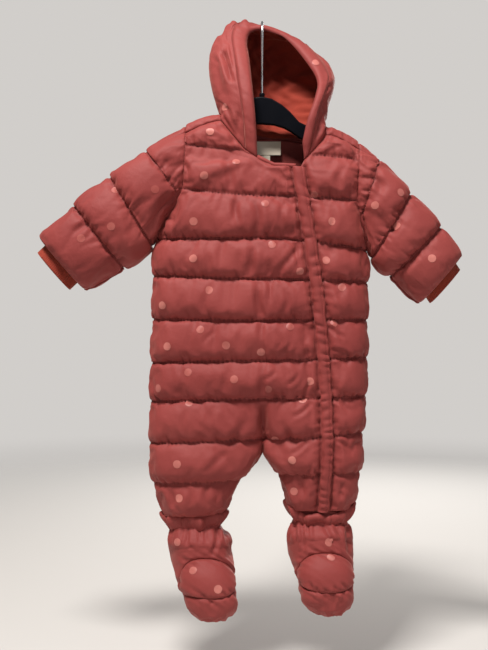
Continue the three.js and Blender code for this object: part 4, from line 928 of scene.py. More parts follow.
CAP_SEAM_DROP = {"right": {"outer": 1.0, "inner": 0.3}, "left": {"outer": 0.55, "inner": 0.6}}
CAP_ANGLE, SOLE_ANGLE = math.radians(84), math.radians(128)


def signed_power(value, power):
    return np.sign(value) * np.abs(value) ** power


def make_bootie(side):
    ring = columns(BOOTIE_RINGS[side])
    lean = 1.0 if side == "right" else 2.6

    def place(at, angle):
        at, angle = np.broadcast_arrays(np.asarray(at, float), np.asarray(angle, float))
        towards_inner = 0.5 + 0.5 * np.sin(angle) * (1 if side == "right" else -1)
        near = ease(at, 2.2, CAP_RING) * (1 - ease(at, CAP_RING, 6.8))
        drop = mix(CAP_SEAM_DROP[side]["outer"], CAP_SEAM_DROP[side]["inner"], towards_inner)
        row = np.minimum(at, 7) + drop * (1 - np.maximum(0, np.cos(angle))) * near
        middle = np.stack([(ring[a](row) + ring[b](row)) / 2 for a, b in OPPOSITES], -1)
        front_y, front_z = ring["frontY"](row), ring["frontZ"](row)
        instep = np.stack([0 * row, front_y - middle[..., 1], front_z - middle[..., 2]], -1)
        half_width = np.abs(ring["innerX"](row) - ring["outerX"](row)) / 2
        folds = np.cos(11 * angle + lean) + 0.6 * np.cos(17 * angle + 2 * lean) + 0.35 * np.cos(27 * angle)
        gathered = 1 + 0.045 * folds * ease(at, 0.9, 1.3) * (1 - ease(at, 1.3, 3.0))
        point = middle + instep * (gathered * signed_power(np.cos(angle), 0.85))[..., None]
        point[..., 0] += gathered * half_width * signed_power(np.sin(angle), 0.85)
        tip = np.array([(ring[a](7) + ring[b](7)) / 2 for a, b in OPPOSITES]) - [0, 4, 3]
        return mix(point, tip, (np.sin(np.pi / 2 * np.clip(at - 7, 0, 1)) ** 1.6)[..., None])

    cap_angles = steps(-0.985 * CAP_ANGLE, 0.985 * CAP_ANGLE, 26)
    sides = chain(steps(0.985 * CAP_ANGLE, CAP_ANGLE, 1), steps(CAP_ANGLE, SOLE_ANGLE, 8))
    front = np.concatenate([-sides[::-1], cap_angles[1:], sides[1:]])
    sole = steps(SOLE_ANGLE, 2 * np.pi - SOLE_ANGLE, 22)

    def cap_end(angle):
        return CAP_RING + CAP_REACH * np.sqrt(1 - np.minimum(1, np.abs(angle) / CAP_ANGLE) ** 2)

    bootie = Cloth()

    def add(panel, at, angles, loft):
        at, angles = np.broadcast_arrays(at, angles[None, :])
        bootie.grid(panel, place(at, angles), np.broadcast_to(loft, at.shape))

    upper = chain(steps(0, 1, 7), steps(1, 2, 8), steps(2, 3, 8), steps(3, 4, 8))[:, None]
    heel = upper[upper[:, 0] <= HEEL_RING]
    def puffed(at, length):
        return np.where(at > 1, 2 * np.sin(np.pi * np.clip((at - 1) / length, 0, 1)) ** 0.5, 0)

    add("upper", upper, front, puffed(upper, 3))
    add("upper", heel, sole, puffed(heel, 2))
    down = steps(0, 1, 16)[:, None]
    cap_loft = 6 * np.sin(np.pi * down) ** 0.8 * np.cos(cap_angles) ** 0.5
    add("cap", mix(CAP_RING, cap_end(cap_angles), down), cap_angles, cap_loft)
    add("toe", mix(cap_end(front), TOE_TIP, down), front, 3.2 * np.sin(np.pi * down))
    add("sole", steps(HEEL_RING, CAP_RING, 8)[:, None], sole, 0)
    add("sole", mix(CAP_RING, TOE_TIP, down), sole, 0)
    bootie.settle()
    for panel, growth, cap in (("upper", 0.05, 2.5), ("cap", 0.03, 2), ("toe", 0.05, 2), ("sole", 0.02, 1)):
        name = f"bootie_{side}_{panel}"
        padded[name] = wadded_sheet(bootie, f"{name}_cloth", [panel], growth, 2.5, cap)


make_bootie("right")
make_bootie("left")

# %% Swell everything in one run
swell_all()


# %% [markdown]
# ## Places
# The real suit is one thing in the hand, so every finished piece rides on the one body. Where it has a solid,
# it takes that solid's place.


def settle_piece(obj, *nodes):
    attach(obj, "root")
    if nodes:
        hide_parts(*nodes)


# %% [markdown]
# ## Stitch lines, puckers and creases
# After the simulation each sheet gets one round of subdivision, which puts its points two millimetres
# apart. That is fine enough for what a needle does: a narrow valley along each sewn line, and small
# puckers that run out of it where the cloth is gathered. The deep creases of the hanging suit are placed
# one by one, as lines on the front.
# Bump could shade all of this, but real folds also change the outline of the suit, so they are geometry.


# %% Lines of sewing, as points with their direction and place along the line
line_points, line_runs, line_places, line_downs, quilt_lines = [], [], [], [], []
for panel, ids in suit.lines:
    spots = suit.points[ids] + HALF_CLOTH * suit.normals[ids]
    down = sleeve_axis(panel.split("_")[1]) if "sleeve" in panel else (0.0, 0.0, -1.0)
    line_points.append(spots)
    line_runs.append(unit(np.gradient(spots, axis=0)))
    line_places.append(lengths_along(spots) + 37 * len(line_places))
    line_downs.append(np.broadcast_to(down, spots.shape))
    quilt_lines.append((panel, spots))
line_points, line_runs = np.concatenate(line_points), np.concatenate(line_runs)
line_places, line_downs = np.concatenate(line_places), np.concatenate(line_downs)
print(len(quilt_lines), "sewn lines")


def nearest(points, targets):
    """Distance to, and number of, the nearest target of each point."""
    tree = KDTree(len(targets))
    for k, target in enumerate(targets):
        tree.insert(target, k)
    tree.balance()
    found = [tree.find(point) for point in points]
    return np.array([f[2] for f in found]), np.array([f[1] for f in found])


# %% The deep creases: three points of the photograph as x y, then the depth and the half-width in mm
CREASES = [
    (226, 157, 229, 172, 232, 189, 3.2, 5), (234, 199, 236, 214, 242, 236, 3, 4),
    (254, 199, 258, 216, 256, 238, 4.2, 5), (253, 246, 251, 260, 252, 275, 4.4, 4.5),
    (258, 281, 258, 300, 260, 316, 4.2, 4.5), (300, 246, 290, 258, 278, 272, 2.8, 4),
    (262, 322, 261, 336, 264, 352, 2.6, 4.5), (262, 362, 262, 380, 263, 396, 2.8, 5),
    (262, 402, 263, 418, 265, 434, 3.4, 5), (197, 322, 190, 334, 186, 350, 1.8, 4.5),
    (205, 248, 209, 262, 207, 276, 2, 4), (212, 282, 206, 296, 204, 312, 1.8, 4),
    (283, 203, 281, 216, 286, 230, 2, 4), (245, 325, 240, 338, 243, 352, 1.8, 4),
    (222, 362, 227, 376, 223, 392, 2, 4.5), (180, 366, 184, 378, 181, 392, 1.8, 4),
    (284, 288, 288, 300, 283, 314, 2, 4), (276, 330, 281, 342, 277, 354, 1.8, 4),
    (214, 406, 209, 420, 213, 436, 2, 4.5), (246, 418, 238, 434, 226, 446, 2.6, 5),
    (281, 420, 288, 436, 298, 446, 2.6, 5), (228, 450, 216, 462, 205, 474, 2.2, 4.5),
    (186, 410, 182, 424, 185, 438, 1.8, 4), (188, 486, 191, 498, 188, 508, 2.4, 4),
    (170, 488, 173, 498, 172, 508, 2.2, 4), (207, 484, 205, 496, 208, 508, 2.4, 4),
    (300, 482, 303, 491, 301, 500, 2.2, 4), (345, 480, 341, 490, 343, 499, 2, 4),
    (344, 166, 338, 178, 341, 190, 2.2, 4.5), (330, 205, 334, 218, 329, 230, 2, 4),
    (345, 284, 341, 296, 345, 308, 1.8, 4), (336, 362, 340, 376, 335, 390, 2, 4),
    (160, 150, 168, 166, 174, 182, 1.4, 5), (166, 214, 170, 218, 175, 221, 4, 3.5),
    (118, 211, 124, 234, 133, 261, -2.2, 6), (126, 188, 130, 196, 128, 206, 1.8, 4),
    (92, 216, 84, 226, 70, 232, 2, 4.5), (372, 172, 380, 186, 376, 200, 2.4, 5),
    (378, 214, 388, 226, 398, 230, 2.6, 5), (404, 214, 396, 226, 388, 240, 2, 4.5),
    (418, 250, 412, 262, 402, 272, 2, 4.5), (222, 50, 227, 63, 232, 82, 5.5, 3.6),
    (231, 44, 233, 58, 235, 74, 3.5, 2.6), (221, 112, 229, 127, 237, 139, 4, 3.5),
    (226, 106, 232, 122, 239, 136, 3, 3), (237, 14, 239, 21, 242, 28, 5, 4),
    (246, 25, 262, 21, 292, 28, 5, 4), (224, 18, 221, 27, 219, 36, 3.5, 4.5),
    (216, 60, 219, 78, 224, 96, 2.5, 5), (240, 70, 244, 84, 242, 98, 1.6, 4),
    (243, 108, 238, 126, 245, 142, 2.2, 4), (328, 124, 325, 136, 317, 147, 3.6, 3.5),
    (322, 112, 319, 130, 313, 147, 3.6, 3.5), (321, 58, 325, 74, 326, 92, 3, 3.5),
    (300, 34, 312, 46, 322, 60, 2.6, 4.5), (182, 522, 183, 530, 181, 540, 2.4, 2.4),
    (187.5, 522, 188, 534, 187, 546, 3.4, 2.6), (191.7, 524, 193, 538, 190, 550, 3, 2.4),
    (198, 527, 199, 538, 196, 548, 2.6, 2.4), (216, 525, 217, 540, 211, 557, 3.4, 2.8),
    (223, 524, 226, 536, 229, 546, 2.6, 2.4), (207, 526, 205, 534, 207, 543, 2.2, 2.4),
    (302, 521, 302.5, 536, 304, 551, 3.4, 2.6), (307, 521, 308, 534, 306, 546, 2.6, 2.4),
    (323, 524, 330, 536, 338, 553, 3.2, 2.8), (346, 525, 348, 540, 350, 556, 3, 2.6),
    (314, 524, 314, 532, 316, 540, 2.2, 2.2), (335, 522, 337, 530, 342, 538, 2.4, 2.4),
    (296, 522, 295, 532, 297, 543, 2.4, 2.4), (203, 595, 204, 600, 206, 606, 1.8, 2.2),
    (211, 594, 212, 599, 212, 604, 1.8, 2.2), (222, 590, 225, 595, 227, 602, 1.6, 2.2),
    (308, 581, 311, 586, 312, 593, 1.8, 2.2), (316, 586, 317, 591, 319, 598, 2, 2.2),
    (325, 588, 326, 593, 326, 600, 2, 2.2), (334, 586, 336, 591, 337, 598, 2, 2.2),
    (342, 582, 345, 587, 346, 594, 1.8, 2.2), (276, 357, 283, 352, 292, 343, 2.6, 2.8),
    (330, 326, 336, 333, 346, 337, 2.4, 2.6), (331, 349, 341, 351, 352, 357, 2.2, 2.6),
    (285, 385, 293, 381, 300, 373, 2.4, 2.6), (302, 400, 306, 390, 312, 380, 2.4, 2.6),
    (291, 417, 302, 412, 312, 402, 2.6, 2.8), (331, 399, 340, 402, 349, 410, 2.4, 2.6),
    (203, 344, 207, 337, 215, 331, 2, 2.6), (262, 380, 269, 377, 277, 371, 2.2, 2.6),
    (334, 440, 342, 443, 350, 450, 2.2, 2.6), (290, 455, 299, 449, 309, 440, 2.4, 2.8),
    (303, 478, 309, 470, 314, 460, 2, 2.6),
]
PICTURE_SCALE, HOOK_POINT = 1.42, (262, 24)
CREASE_REACH = 60


def on_plane(picture_x, picture_y):
    """A point of the photograph on the hanging plane, in mm from the hook."""
    return (picture_x - HOOK_POINT[0]) * PICTURE_SCALE, -(picture_y - HOOK_POINT[1]) * PICTURE_SCALE


def smooth_line(points, count=25):
    t = np.linspace(0, len(points) - 1, count)
    return np.stack([smooth(np.arange(len(points)), points[:, k])(t) for k in range(points.shape[1])], -1)


def crease_depth(points, behind):
    """How far each point in front of the plane y = behind is pressed in by the creases."""
    x, z = points[:, 0], points[:, 2]
    towards = (VIEW_DISTANCE / MM + points[:, 1]) / (VIEW_DISTANCE / MM)
    seen = np.stack([EYE_X + (x - EYE_X) / towards, EYE_Z + (z - EYE_Z) / towards], -1)
    total = np.zeros(len(points))
    for *picture, depth, width in CREASES:
        line = smooth_line(np.array([on_plane(*spot) for spot in zip(picture[::2], picture[1::2])], float))
        near = np.abs(seen - line.mean(0)).max(1) < CREASE_REACH
        gaps = np.linalg.norm(seen[near][:, None] - line[None], axis=2)
        k, far = gaps.argmin(1), gaps.min(1)
        end = np.sin(np.pi * np.clip(k / (len(line) - 1), 0, 1)) ** 0.6
        trough, lip = np.exp(-((far / width) ** 2)), np.exp(-(((far - 2.1 * width) / width) ** 2))
        total[near] += depth * end * (trough - 0.45 * lip)
    return np.where(points[:, 1] < behind, total, 0)


# %% Refine, press in the seams and add the puckers
def refine(obj):
    subdivide(obj)
    fine = bpy.data.meshes.new_from_object(obj.evaluated_get(bpy.context.evaluated_depsgraph_get()))
    obj.modifiers.clear()
    obj.data = fine
    points, normals = np.empty(len(fine.vertices) * 3), np.empty(len(fine.vertices) * 3)
    fine.vertices.foreach_get("co", points)
    fine.vertex_normals.foreach_get("vector", normals)
    return points.reshape(-1, 3) / MM, normals.reshape(-1, 3)


def mesh_border(mesh):
    ends = np.empty(len(mesh.edges) * 2, int)
    mesh.edges.foreach_get("vertices", ends)
    sides = np.empty(len(mesh.loops), int)
    mesh.loops.foreach_get("edge_index", sides)
    once = np.bincount(sides, minlength=len(mesh.edges)) == 1
    return np.unique(ends.reshape(-1, 2)[once])


BODY_BEHIND, HOOD_BEHIND = 12, 60


def wander(place):
    return np.sin(place / 1.55) + 0.8 * np.sin(place / 2.3 + 1.3) + 0.7 * np.sin(place / 3.9 + 0.4)


def sew(name, obj, sheet):
    points, normals = refine(obj)
    border = mesh_border(obj.data)
    from_border, _ = nearest(points, points[border])
    free = ease(from_border, 0, 5)
    edge = sheet.border()
    _, k = nearest(points, sheet.points[edge])
    normals = unit(mix(sheet.normals[edge][k], normals, ease(from_border, 0, 4)[:, None]))
    press = np.zeros(len(points))
    if name.startswith(("front", "back", "sleeve")):
        far, k = nearest(points, line_points)
        place = line_places[k] + np.einsum("ij,ij->i", points - line_points[k], line_runs[k])
        strength = 0.5 + 0.5 * np.sin(place / 17 + 2 * np.sin(place / 41))
        press += 2.3 * np.exp(-((far / 1.7) ** 2)) + 0.9 * np.exp(-((far / 4.2) ** 2))
        over = -np.einsum("ij,ij->i", points - line_points[k], line_downs[k])
        pinched = np.maximum(wander(place + 0.3 * far), -0.4)
        side_of_line = 0.35 + 0.65 * ease(over, -2, 4)
        press += (0.6 + 1.3 * strength) * side_of_line * pinched * np.exp(-far / 10) * ease(far, 0, 2.5)
    seam_puckers = wander(points[:, 2] * 0.8 + points[:, 0] * 0.6 + points[:, 1] * 0.4)
    gather = 1.3 if name.startswith("bootie") else 0.35
    press += gather * seam_puckers * np.exp(-from_border / 8) * ease(from_border, 0, 4)
    creased = crease_depth(points, HOOD_BEHIND if name.startswith("hood") else BODY_BEHIND)
    press += creased
    if name.startswith("front"):
        beside = np.where(points[:, 2] < -205, np.abs(np.abs(points[:, 0] - zip_x(points[:, 2])) - 9.2), 99)
        wave = np.maximum(wander(0.9 * points[:, 2] + 0.25 * beside), -0.3)
        pulled = wave * (0.6 + 0.4 * np.sin(points[:, 2] / 23))
        press += 2.2 * np.exp(-((beside / 2.2) ** 2)) + 1.1 * pulled * np.exp(-beside / 9)
    seam = (0.8 if name.startswith("bootie") else 1.2) * np.exp(-((from_border / 1.7) ** 2))
    points -= normals * (press * free + seam)[:, None]
    obj.data.vertices.foreach_set("co", (points * MM).reshape(-1))
    # The `pressed` attribute drives painted shade: the deeper a point is pressed, and the nearer a seam, the
    # darker the cloth's base colour
    pressed = obj.data.attributes.new("pressed", "FLOAT", "POINT")
    pressed.data.foreach_set("value", ((press - 0.6 * creased) * free + 1.6 * seam).astype(np.float32))
    obj.data.update()


for name, (obj, sheet) in padded.items():
    sew(name, obj, sheet)
    add_wall(obj, 2.2 if name.startswith("mitt") else 1.4)
    settle_piece(obj, name)

# %% [markdown]
# ## Thin cloth: lining, facing and binding
# The lining hangs a little loose inside the hood, so it falls in soft folds. The facing lies on the inside
# of the back, and the binding is a narrow strip rolled over the raw edge of the neckline.
# The lining could be simulated as well. A copy of the hood's own panels, moved in and waved, keeps to the
# hood's shape instead, and the creases of the hood go through both.


# %% Lining and facing
def folded_in(sheet, depth, pitch):
    drift = np.sin(sheet.points[:, 2] / (pitch * 1.3) + sheet.points[:, 0] / 31)
    fold = np.sin(sheet.points[:, 0] / pitch + sheet.points[:, 1] / (pitch * 0.8) + 1.6 * drift)
    sheet.points = sheet.points - sheet.normals * (depth * (0.5 + 0.5 * fold) ** 1.5)[:, None]


hood_inside = suit.piece(["hood_right", "hood_left"], at_height(-HALF_CLOTH - 0.6))
edge = hood_inside.border()
flat = hood_inside.points[edge].copy()
folded_in(hood_inside, 7.0, 3.4)
hood_creases = np.maximum(crease_depth(hood_inside.points, HOOD_BEHIND), 0)
hood_inside.points -= hood_inside.normals * hood_creases[:, None]
hood_inside.points[edge] = flat
lining_sheet = hood_inside.to_object("hood_lining_cloth", lining)
thicken(lining_sheet, 0.8)
settle_piece(lining_sheet, "hood_lining")
facing = suit.piece(["back_neck"], at_height(-HALF_CLOTH - 0.5)).to_object("neck_facing_cloth", shell)
thicken(facing, 0.7)
settle_piece(facing, "neck_facing")


# %% Tubes along a line of points, for the binding and the wire
def ring_faces(count, sides):
    """Quads between rings of points that follow one another."""
    return [
        (i * sides + j, i * sides + (j + 1) % sides, (i + 1) * sides + (j + 1) % sides, (i + 1) * sides + j)
        for i in range(count - 1) for j in range(sides)
    ]


def fix_normals(obj):
    solid = bmesh.new()
    solid.from_mesh(obj.data)
    bmesh.ops.recalc_face_normals(solid, faces=solid.faces)
    solid.to_mesh(obj.data)
    solid.free()


def tube(name, path, radii, material, sides):
    """A tube whose section has two half-axes, kept level by the first one's direction."""
    run = unit(np.gradient(path, axis=0))
    across = unit(np.cross(run, [0.0, 1.0, 0.0]) + 1e-6)
    up = np.cross(across, run)[:, None]
    angles = np.linspace(0, 2 * np.pi, sides, endpoint=False)[None, :, None]
    rings = path[:, None] + across[:, None] * (radii[0] * np.cos(angles)) + up * (radii[1] * np.sin(angles))
    rings = rings.reshape(-1, 3)
    last = (len(path) - 1) * sides
    faces = ring_faces(len(path), sides)
    faces += [tuple(range(sides))[::-1], tuple(last + j for j in range(sides))]
    flat = rings[[v for face in faces for v in face]][:, [0, 2]] * MM
    obj = mesh_object(name, rings, faces, material, flat)
    fix_normals(obj)
    return obj


neck_right = torso(NECK_BOTTOM, "left", mix(1, to_zip[0, 0], steps(0, 1, 16)), -1)
neck_run = np.concatenate([
    [torso(HOOD_FRONT_END, "right", 1.0, -1)], torso(NECK_BOTTOM, "right", 1.0, -1)[None], neck_right[1:],
    torso(NECK_BOTTOM, "left", to_zip[0, 1:2], -1),
])
shares = np.linspace(0, 1, len(neck_run))
smooth_run = np.stack([np.interp(steps(0, 1, 40), shares, neck_run[:, k]) for k in range(3)], -1)
smooth_run[1:-1] = (smooth_run[:-2] + 2 * smooth_run[1:-1] + smooth_run[2:]) / 4
binding = tube("neck_binding_cloth", smooth_run + [0, 0.2, 1.6], (2.9, 2.4), shell, sides=14)
settle_piece(binding, "neck_binding")

# %% [markdown]
# ## Zip flap
# A strip of the shell cloth covers the zip from the neckline to the ankle. It is sewn on along both sides
# with the wadded panels pulling at it, so it puckers across from end to end.
# A simulation could pucker it, but waves along the strip keep to the pitch that the photograph shows.

# %% Zip flap
FLAP_HALF = {"at": [-700, -450, -200], "w": [7.6, 8.2, 8.8]}


def make_flap():
    rows = chain(*[steps(a, b, 2) for a, b in zip(TRUNK_ROWS[:-1], TRUNK_ROWS[1:])])
    shares = np.array([-1, -0.96, -0.85, -0.62, -0.35, -0.1, 0.15, 0.38, 0.5, 0.6, 0.72, 0.87, 0.96, 1])
    z = flat_rows(rows, "left", 0.6 + 0 * rows, -1)[:, 2]
    half_width = np.interp(z, FLAP_HALF["at"], FLAP_HALF["w"])
    base = np.stack([torso(rows, "left", zip_across(rows, s * half_width), -1) for s in shares], 1)
    across, down = unit(np.gradient(base, axis=1)), unit(np.gradient(base, axis=0))
    out = unit(np.cross(down, across))
    spacing = np.interp(z, FLAP_HALF["at"], [10, 12, 19])
    phase = np.concatenate([[0], np.cumsum(-np.diff(z) * 2 * np.pi / spacing[1:])])
    phase = phase + 1.5 * np.sin(z / 17) + np.sin(z / 7.3)
    lean = phase[:, None] + 1.1 * shares * np.sin(z[:, None] / 31)
    pinched = (1 - np.abs(np.sin(lean / 2))) ** 1.3 * (0.55 + 0.45 * np.sin(z[:, None] / 19 + 2 * shares))
    raised = 3.8 * (1 - np.abs(shares) ** 3) - 3.0 * pinched * (1 - 0.5 * shares**4) - 0.8 * shares**8
    stitched = np.exp(-(((shares - 0.5) / 0.12) ** 2))
    points = base + out * (HALF_CLOTH + 0.9 + raised - 1.2 * stitched)[..., None]
    points += across * (0.8 * np.sin(phase / 2 + 1))[:, None, None] * np.abs(shares)[None, :, None]
    obj = single_sheet(points).to_object("zip_flap_cloth", shell)
    thicken(obj, 1.2)
    settle_piece(obj, "zip_flap")
    length = float(np.linalg.norm(np.diff(base[:, 5], axis=0), axis=1).sum())
    print("the flap is", round(length), "mm long")
    return points[:, 8]


FLAP_STITCHES = make_flap()

# %% [markdown]
# ## Cuffs and frills
# The cuffs are rib knit: fine ridges that run along the arm. The frills are strips gathered over the
# ankle elastic, wide at the leg and drawn in below.
# Ribs and ruffles could be left to bump, but both show in the outline, so they are waves of the mesh.

# %% Rib knit and cuffs
rib_knit = cloth_material(
    "rib knit", srgb(120, 40, 30), srgb(168, 70, 52), 0.9, 0.35, 0.00012, 0.0006, srgb(255, 190, 170)
)
CUFF = columns({
    "at": [3.5, 3.72, 3.95, 4.24], "width": [0.93, 0.8, 0.73, 0.72], "depth": [0.86, 0.76, 0.7, 0.72],
})


def make_cuff(side):
    sleeve = SLEEVES[side]
    at = steps(3.5, 4.24, 18)[:, None]
    angle = steps(0, 2 * np.pi, 300)[None, :] * (1 if side == "right" else -1)
    rib = 1 + 0.018 * np.cos(75 * angle) * ease(at, 3.6, 3.9)
    width, depth = CUFF["width"](at) * rib, CUFF["depth"](at) * rib
    points = sleeve_section(sleeve, np.minimum(at, 4), angle, width, depth)
    run = 2 * (sleeve_section(sleeve, 4, 0) - sleeve_section(sleeve, 3.5, 0))
    points = points + run * np.maximum(at - 4, 0)[..., None]
    obj = single_sheet(points, 0.6).to_object(f"cuff_{side}_knit", rib_knit)
    add_wall(obj, 1.2)
    settle_piece(obj, f"cuff_{side}")


make_cuff("right")
make_cuff("left")

# %% Ankle frills
FRILL = {
    "right": columns({
        "at": [0, 0.2, 0.5, 0.8, 1], "side": [4, 2, -5, -13, -17], "front": [2, -2, -9, -17, -20],
        "out": [0, 3.2, 2.8, -0.8, -3.2], "corner": [6, 5, 2, 0, 0],
    }),
    "left": columns({
        "at": [0, 0.2, 0.5, 0.8, 1], "side": [12, 9, 0, -11, -15], "front": [-5, -8, -13, -18, -20],
        "out": [0.5, 3.2, 2.8, -0.8, -3.2], "corner": [6, 5, 2, 0, 0],
    }),
}


def make_frill(side):
    table = FRILL[side]
    turn = steps(0, 2 * np.pi, 140)
    share = np.abs((turn + np.pi) % (2 * np.pi) - np.pi) / np.pi
    front = torso(10, side, share, -1)
    behind = torso(10, side, share, 1)
    loop = np.where((np.sin(turn) < 0)[:, None], front, behind)
    centre = (loop[0] + loop[70]) / 2
    out = loop - centre
    out[:, 2] = 0
    out = unit(out)
    at = steps(0, 1, 12)[:, None]
    lean = 0.4 if side == "right" else 1.9
    curl = 0.5 + 0.5 * np.cos(8 * turn + lean + 0.9 * np.sin(3 * turn + lean))
    fine = np.cos(21 * turn + 2 * lean + 1.2 * np.sin(5 * turn))
    loose = np.sin(np.pi * (0.12 + 0.7 * at))
    corner = table["corner"](at) * np.abs(np.cos(turn))[None, :] ** 7
    reach = table["out"](at) + corner + (5.4 * curl**1.8 + 1.5 * fine - 1.6) * loose
    points = loop[None] + out[None] * reach[..., None]
    level = mix(table["side"](at), table["front"](at), np.abs(np.sin(turn))[None, :])
    waves = 3.2 * np.sin(8 * turn + lean + 1) + 1.6 * np.sin(5 * turn + 2 * lean) + 0.9 * fine
    points[..., 2] += level + waves[None, :] * (0.5 + 0.5 * at)
    sheet = single_sheet(points, 0.5)
    if np.einsum("ij,ij->i", sheet.normals, sheet.points - centre).mean() < 0:
        sheet = single_sheet(points[:, ::-1], 0.5)
    obj = sheet.to_object(f"ankle_frill_{side}_cloth", shell)
    thicken(obj, 1.1)
    settle_piece(obj, f"ankle_frill_{side}")


make_frill("right")
make_frill("left")

# %% [markdown]
# ## Labels and hanger
# Two woven labels lie on the facing. The hanger's plate is moulded plastic with rounded edges, and its hook
# is drawn wire. The plate could be carved from a block, but an outline pushed out and bevelled is how its
# mould is made too, and its rounded edge is what catches the light.


# %% Labels
def make_label(name, node, middle, width, height):
    x, z = np.meshgrid(steps(-width / 2, width / 2, 12), steps(height / 2, -height / 2, 8))
    y = 0.35 * np.sin(x / 6.0 + 0.7) + 0.25 * np.cos(z / 5.0)
    points = np.stack([middle[0] + x, middle[1] - 0.5 + y * 0.5, middle[2] + z], -1)
    obj = single_sheet(points).to_object(name, label_cloth)
    thicken(obj, 0.6)
    settle_piece(obj, node)


make_label("label_main_woven", "label_main", (6, 18.2, -173), 43, 20)
make_label("label_size_woven", "label_size", (6, 18.2, -189.8), 12, 13)

# %% Plastic and steel
plastic, tree, shader = new_finish("satin plastic", {"Base Color": srgb(6, 7, 14), "Specular IOR Level": 0.1})
place = wire(tree, "ShaderNodeTexCoord").outputs["Object"]
handled = noise(tree, place, 40.0, 3.0)
tree.links.new(ramp(tree, handled, 0.0, 1.0, 0.34, 0.5), shader.inputs["Roughness"])
tree.links.new(bumped(tree, noise(tree, place, 900.0, 2.0), 0.3, 0.00005), shader.inputs["Normal"])
steel, tree, shader = new_finish("drawn wire", {"Metallic": 1, "Base Color": srgb(198, 198, 202)})
drawn = noise(tree, wire(tree, "ShaderNodeTexCoord").outputs["Object"], 500.0, 2.0)
tree.links.new(ramp(tree, drawn, 0.0, 1.0, 0.18, 0.36), shader.inputs["Roughness"])

# %% Hanger plate
HANGER_TILT = math.radians(-2.45)


def arm_top(x):
    return -118.6 - 0.35 * x


def arm_bottom(x):
    return arm_top(x) - (22 + (x - 57) / (111 - 57) * (13 - 22))


HANGER_HALF = [
    (0, -103), (14, -105.7), (28, -113), (40, -122.5), (48, -130.5), (54, -136.8), (62, arm_top(62)),
    (104, arm_top(104)), (111, arm_top(111) - 4), (111, arm_bottom(111) + 4), (105, arm_bottom(105)),
    (57, arm_bottom(57)), (43, -151.5), (33, -146.5), (19, -142.8), (0, -142),
]


def tilt(x, z):
    """A point of the plate turned about its top middle, as the hanger hangs."""
    pivot = HANGER_HALF[0][1]
    cos, sin = math.cos(HANGER_TILT), math.sin(HANGER_TILT)
    return x * cos - (z - pivot) * sin, x * sin + (z - pivot) * cos + pivot


outline = [tilt(*spot) for spot in HANGER_HALF + [(-x, z) for x, z in HANGER_HALF[-2:0:-1]]]
plate = bmesh.new()
corners = [plate.verts.new((x * MM, -4.5 * MM, z * MM)) for x, z in outline]
face = plate.faces.new(corners)
pushed = bmesh.ops.extrude_face_region(plate, geom=[face])
far_side = [v for v in pushed["geom"] if isinstance(v, bmesh.types.BMVert)]
bmesh.ops.translate(plate, verts=far_side, vec=(0, 9 * MM, 0))
bmesh.ops.recalc_face_normals(plate, faces=plate.faces)
mesh = bpy.data.meshes.new("hanger_plate")
plate.to_mesh(mesh)
plate.free()
mesh.materials.append(plastic)
hanger = bpy.data.objects.new("hanger_plate", mesh)
bpy.context.collection.objects.link(hanger)
rounded = hanger.modifiers.new("rounded", "BEVEL")
rounded.width, rounded.segments = 2.2 * MM, 4
rounded.limit_method, rounded.angle_limit = "ANGLE", math.radians(50)
mesh.polygons.foreach_set("use_smooth", [True] * len(mesh.polygons))
hanger.modifiers.new("shading", "WEIGHTED_NORMAL")
settle_piece(hanger, "hanger_body")


# %% Hook and socket
def catmull(points, count):
    points = np.asarray(points, float)
    padded_points = np.concatenate([[2 * points[0] - points[1]], points, [2 * points[-1] - points[-2]]])
    out = []
    for t in np.linspace(0, len(points) - 1, count):
        k = min(int(t), len(points) - 2)
        p0, p1, p2, p3 = padded_points[k : k + 4]
        u = t - k
        bend = (2 * p0 - 5 * p1 + 4 * p2 - p3) * u * u + (3 * p1 - p0 - 3 * p2 + p3) * u**3
        out.append(0.5 * (2 * p1 + (p2 - p0) * u + bend))
    return np.array(out)


HOOK_RADIUS, HOOK_CENTRE = 21.7, -20
hook_turns = [math.radians(-150 + k * 27.5) for k in range(1, 9)]
loop = [(0, HOOK_RADIUS * math.sin(turn), HOOK_CENTRE + HOOK_RADIUS * math.cos(turn)) for turn in hook_turns]
hook_path = catmull([(0, 0, -101.4), (0, 0, -89), (0, 0, -75), (0, -5, -62), *loop], 150)


def wire_tube(name, path, radius, material, sides=16):
    run = unit(np.gradient(path, axis=0))
    angles = np.linspace(0, 2 * np.pi, sides, endpoint=False)[None, :, None]
    sideways = np.array([1.0, 0, 0])
    up = np.cross(run, sideways)[:, None]
    rings = path[:, None] + radius * (np.cos(angles) * sideways + np.sin(angles) * up)
    ends = np.stack([path[0] - run[0] * 0.3, path[-1] + run[-1] * radius * 0.8])
    last, total = (len(path) - 1) * sides, len(path) * sides
    faces = ring_faces(len(path), sides)
    faces += [(total, (j + 1) % sides, j) for j in range(sides)]
    faces += [(total + 1, last + j, last + (j + 1) % sides) for j in range(sides)]
    obj = mesh_object(name, np.concatenate([rings.reshape(-1, 3), ends]), faces, material)
    fix_normals(obj)
    return obj


hook = wire_tube("hanger_hook_wire", hook_path, 1.7, steel)
settle_piece(hook, "hanger_hook")
COLLAR = [(2.1, 0), (4, 0), (4, 3.0), (3.8, 3.6), (3.3, 4), (2.1, 4)]
count, ring = 32, len(COLLAR)
turns = [2 * math.pi * k / count for k in range(count)]
points = [(r * math.cos(turn), r * math.sin(turn), z - 102.2) for turn in turns for r, z in COLLAR]
faces = []
for k in range(count):
    here, there = k * ring, (k + 1) % count * ring
    faces += [(here + i, there + i, there + (i + 1) % ring, here + (i + 1) % ring) for i in range(ring)]
socket = mesh_object("hanger_collar", points, faces, plastic, smooth_shading=False)
fix_normals(socket)
settle_piece(socket, "hanger_socket")

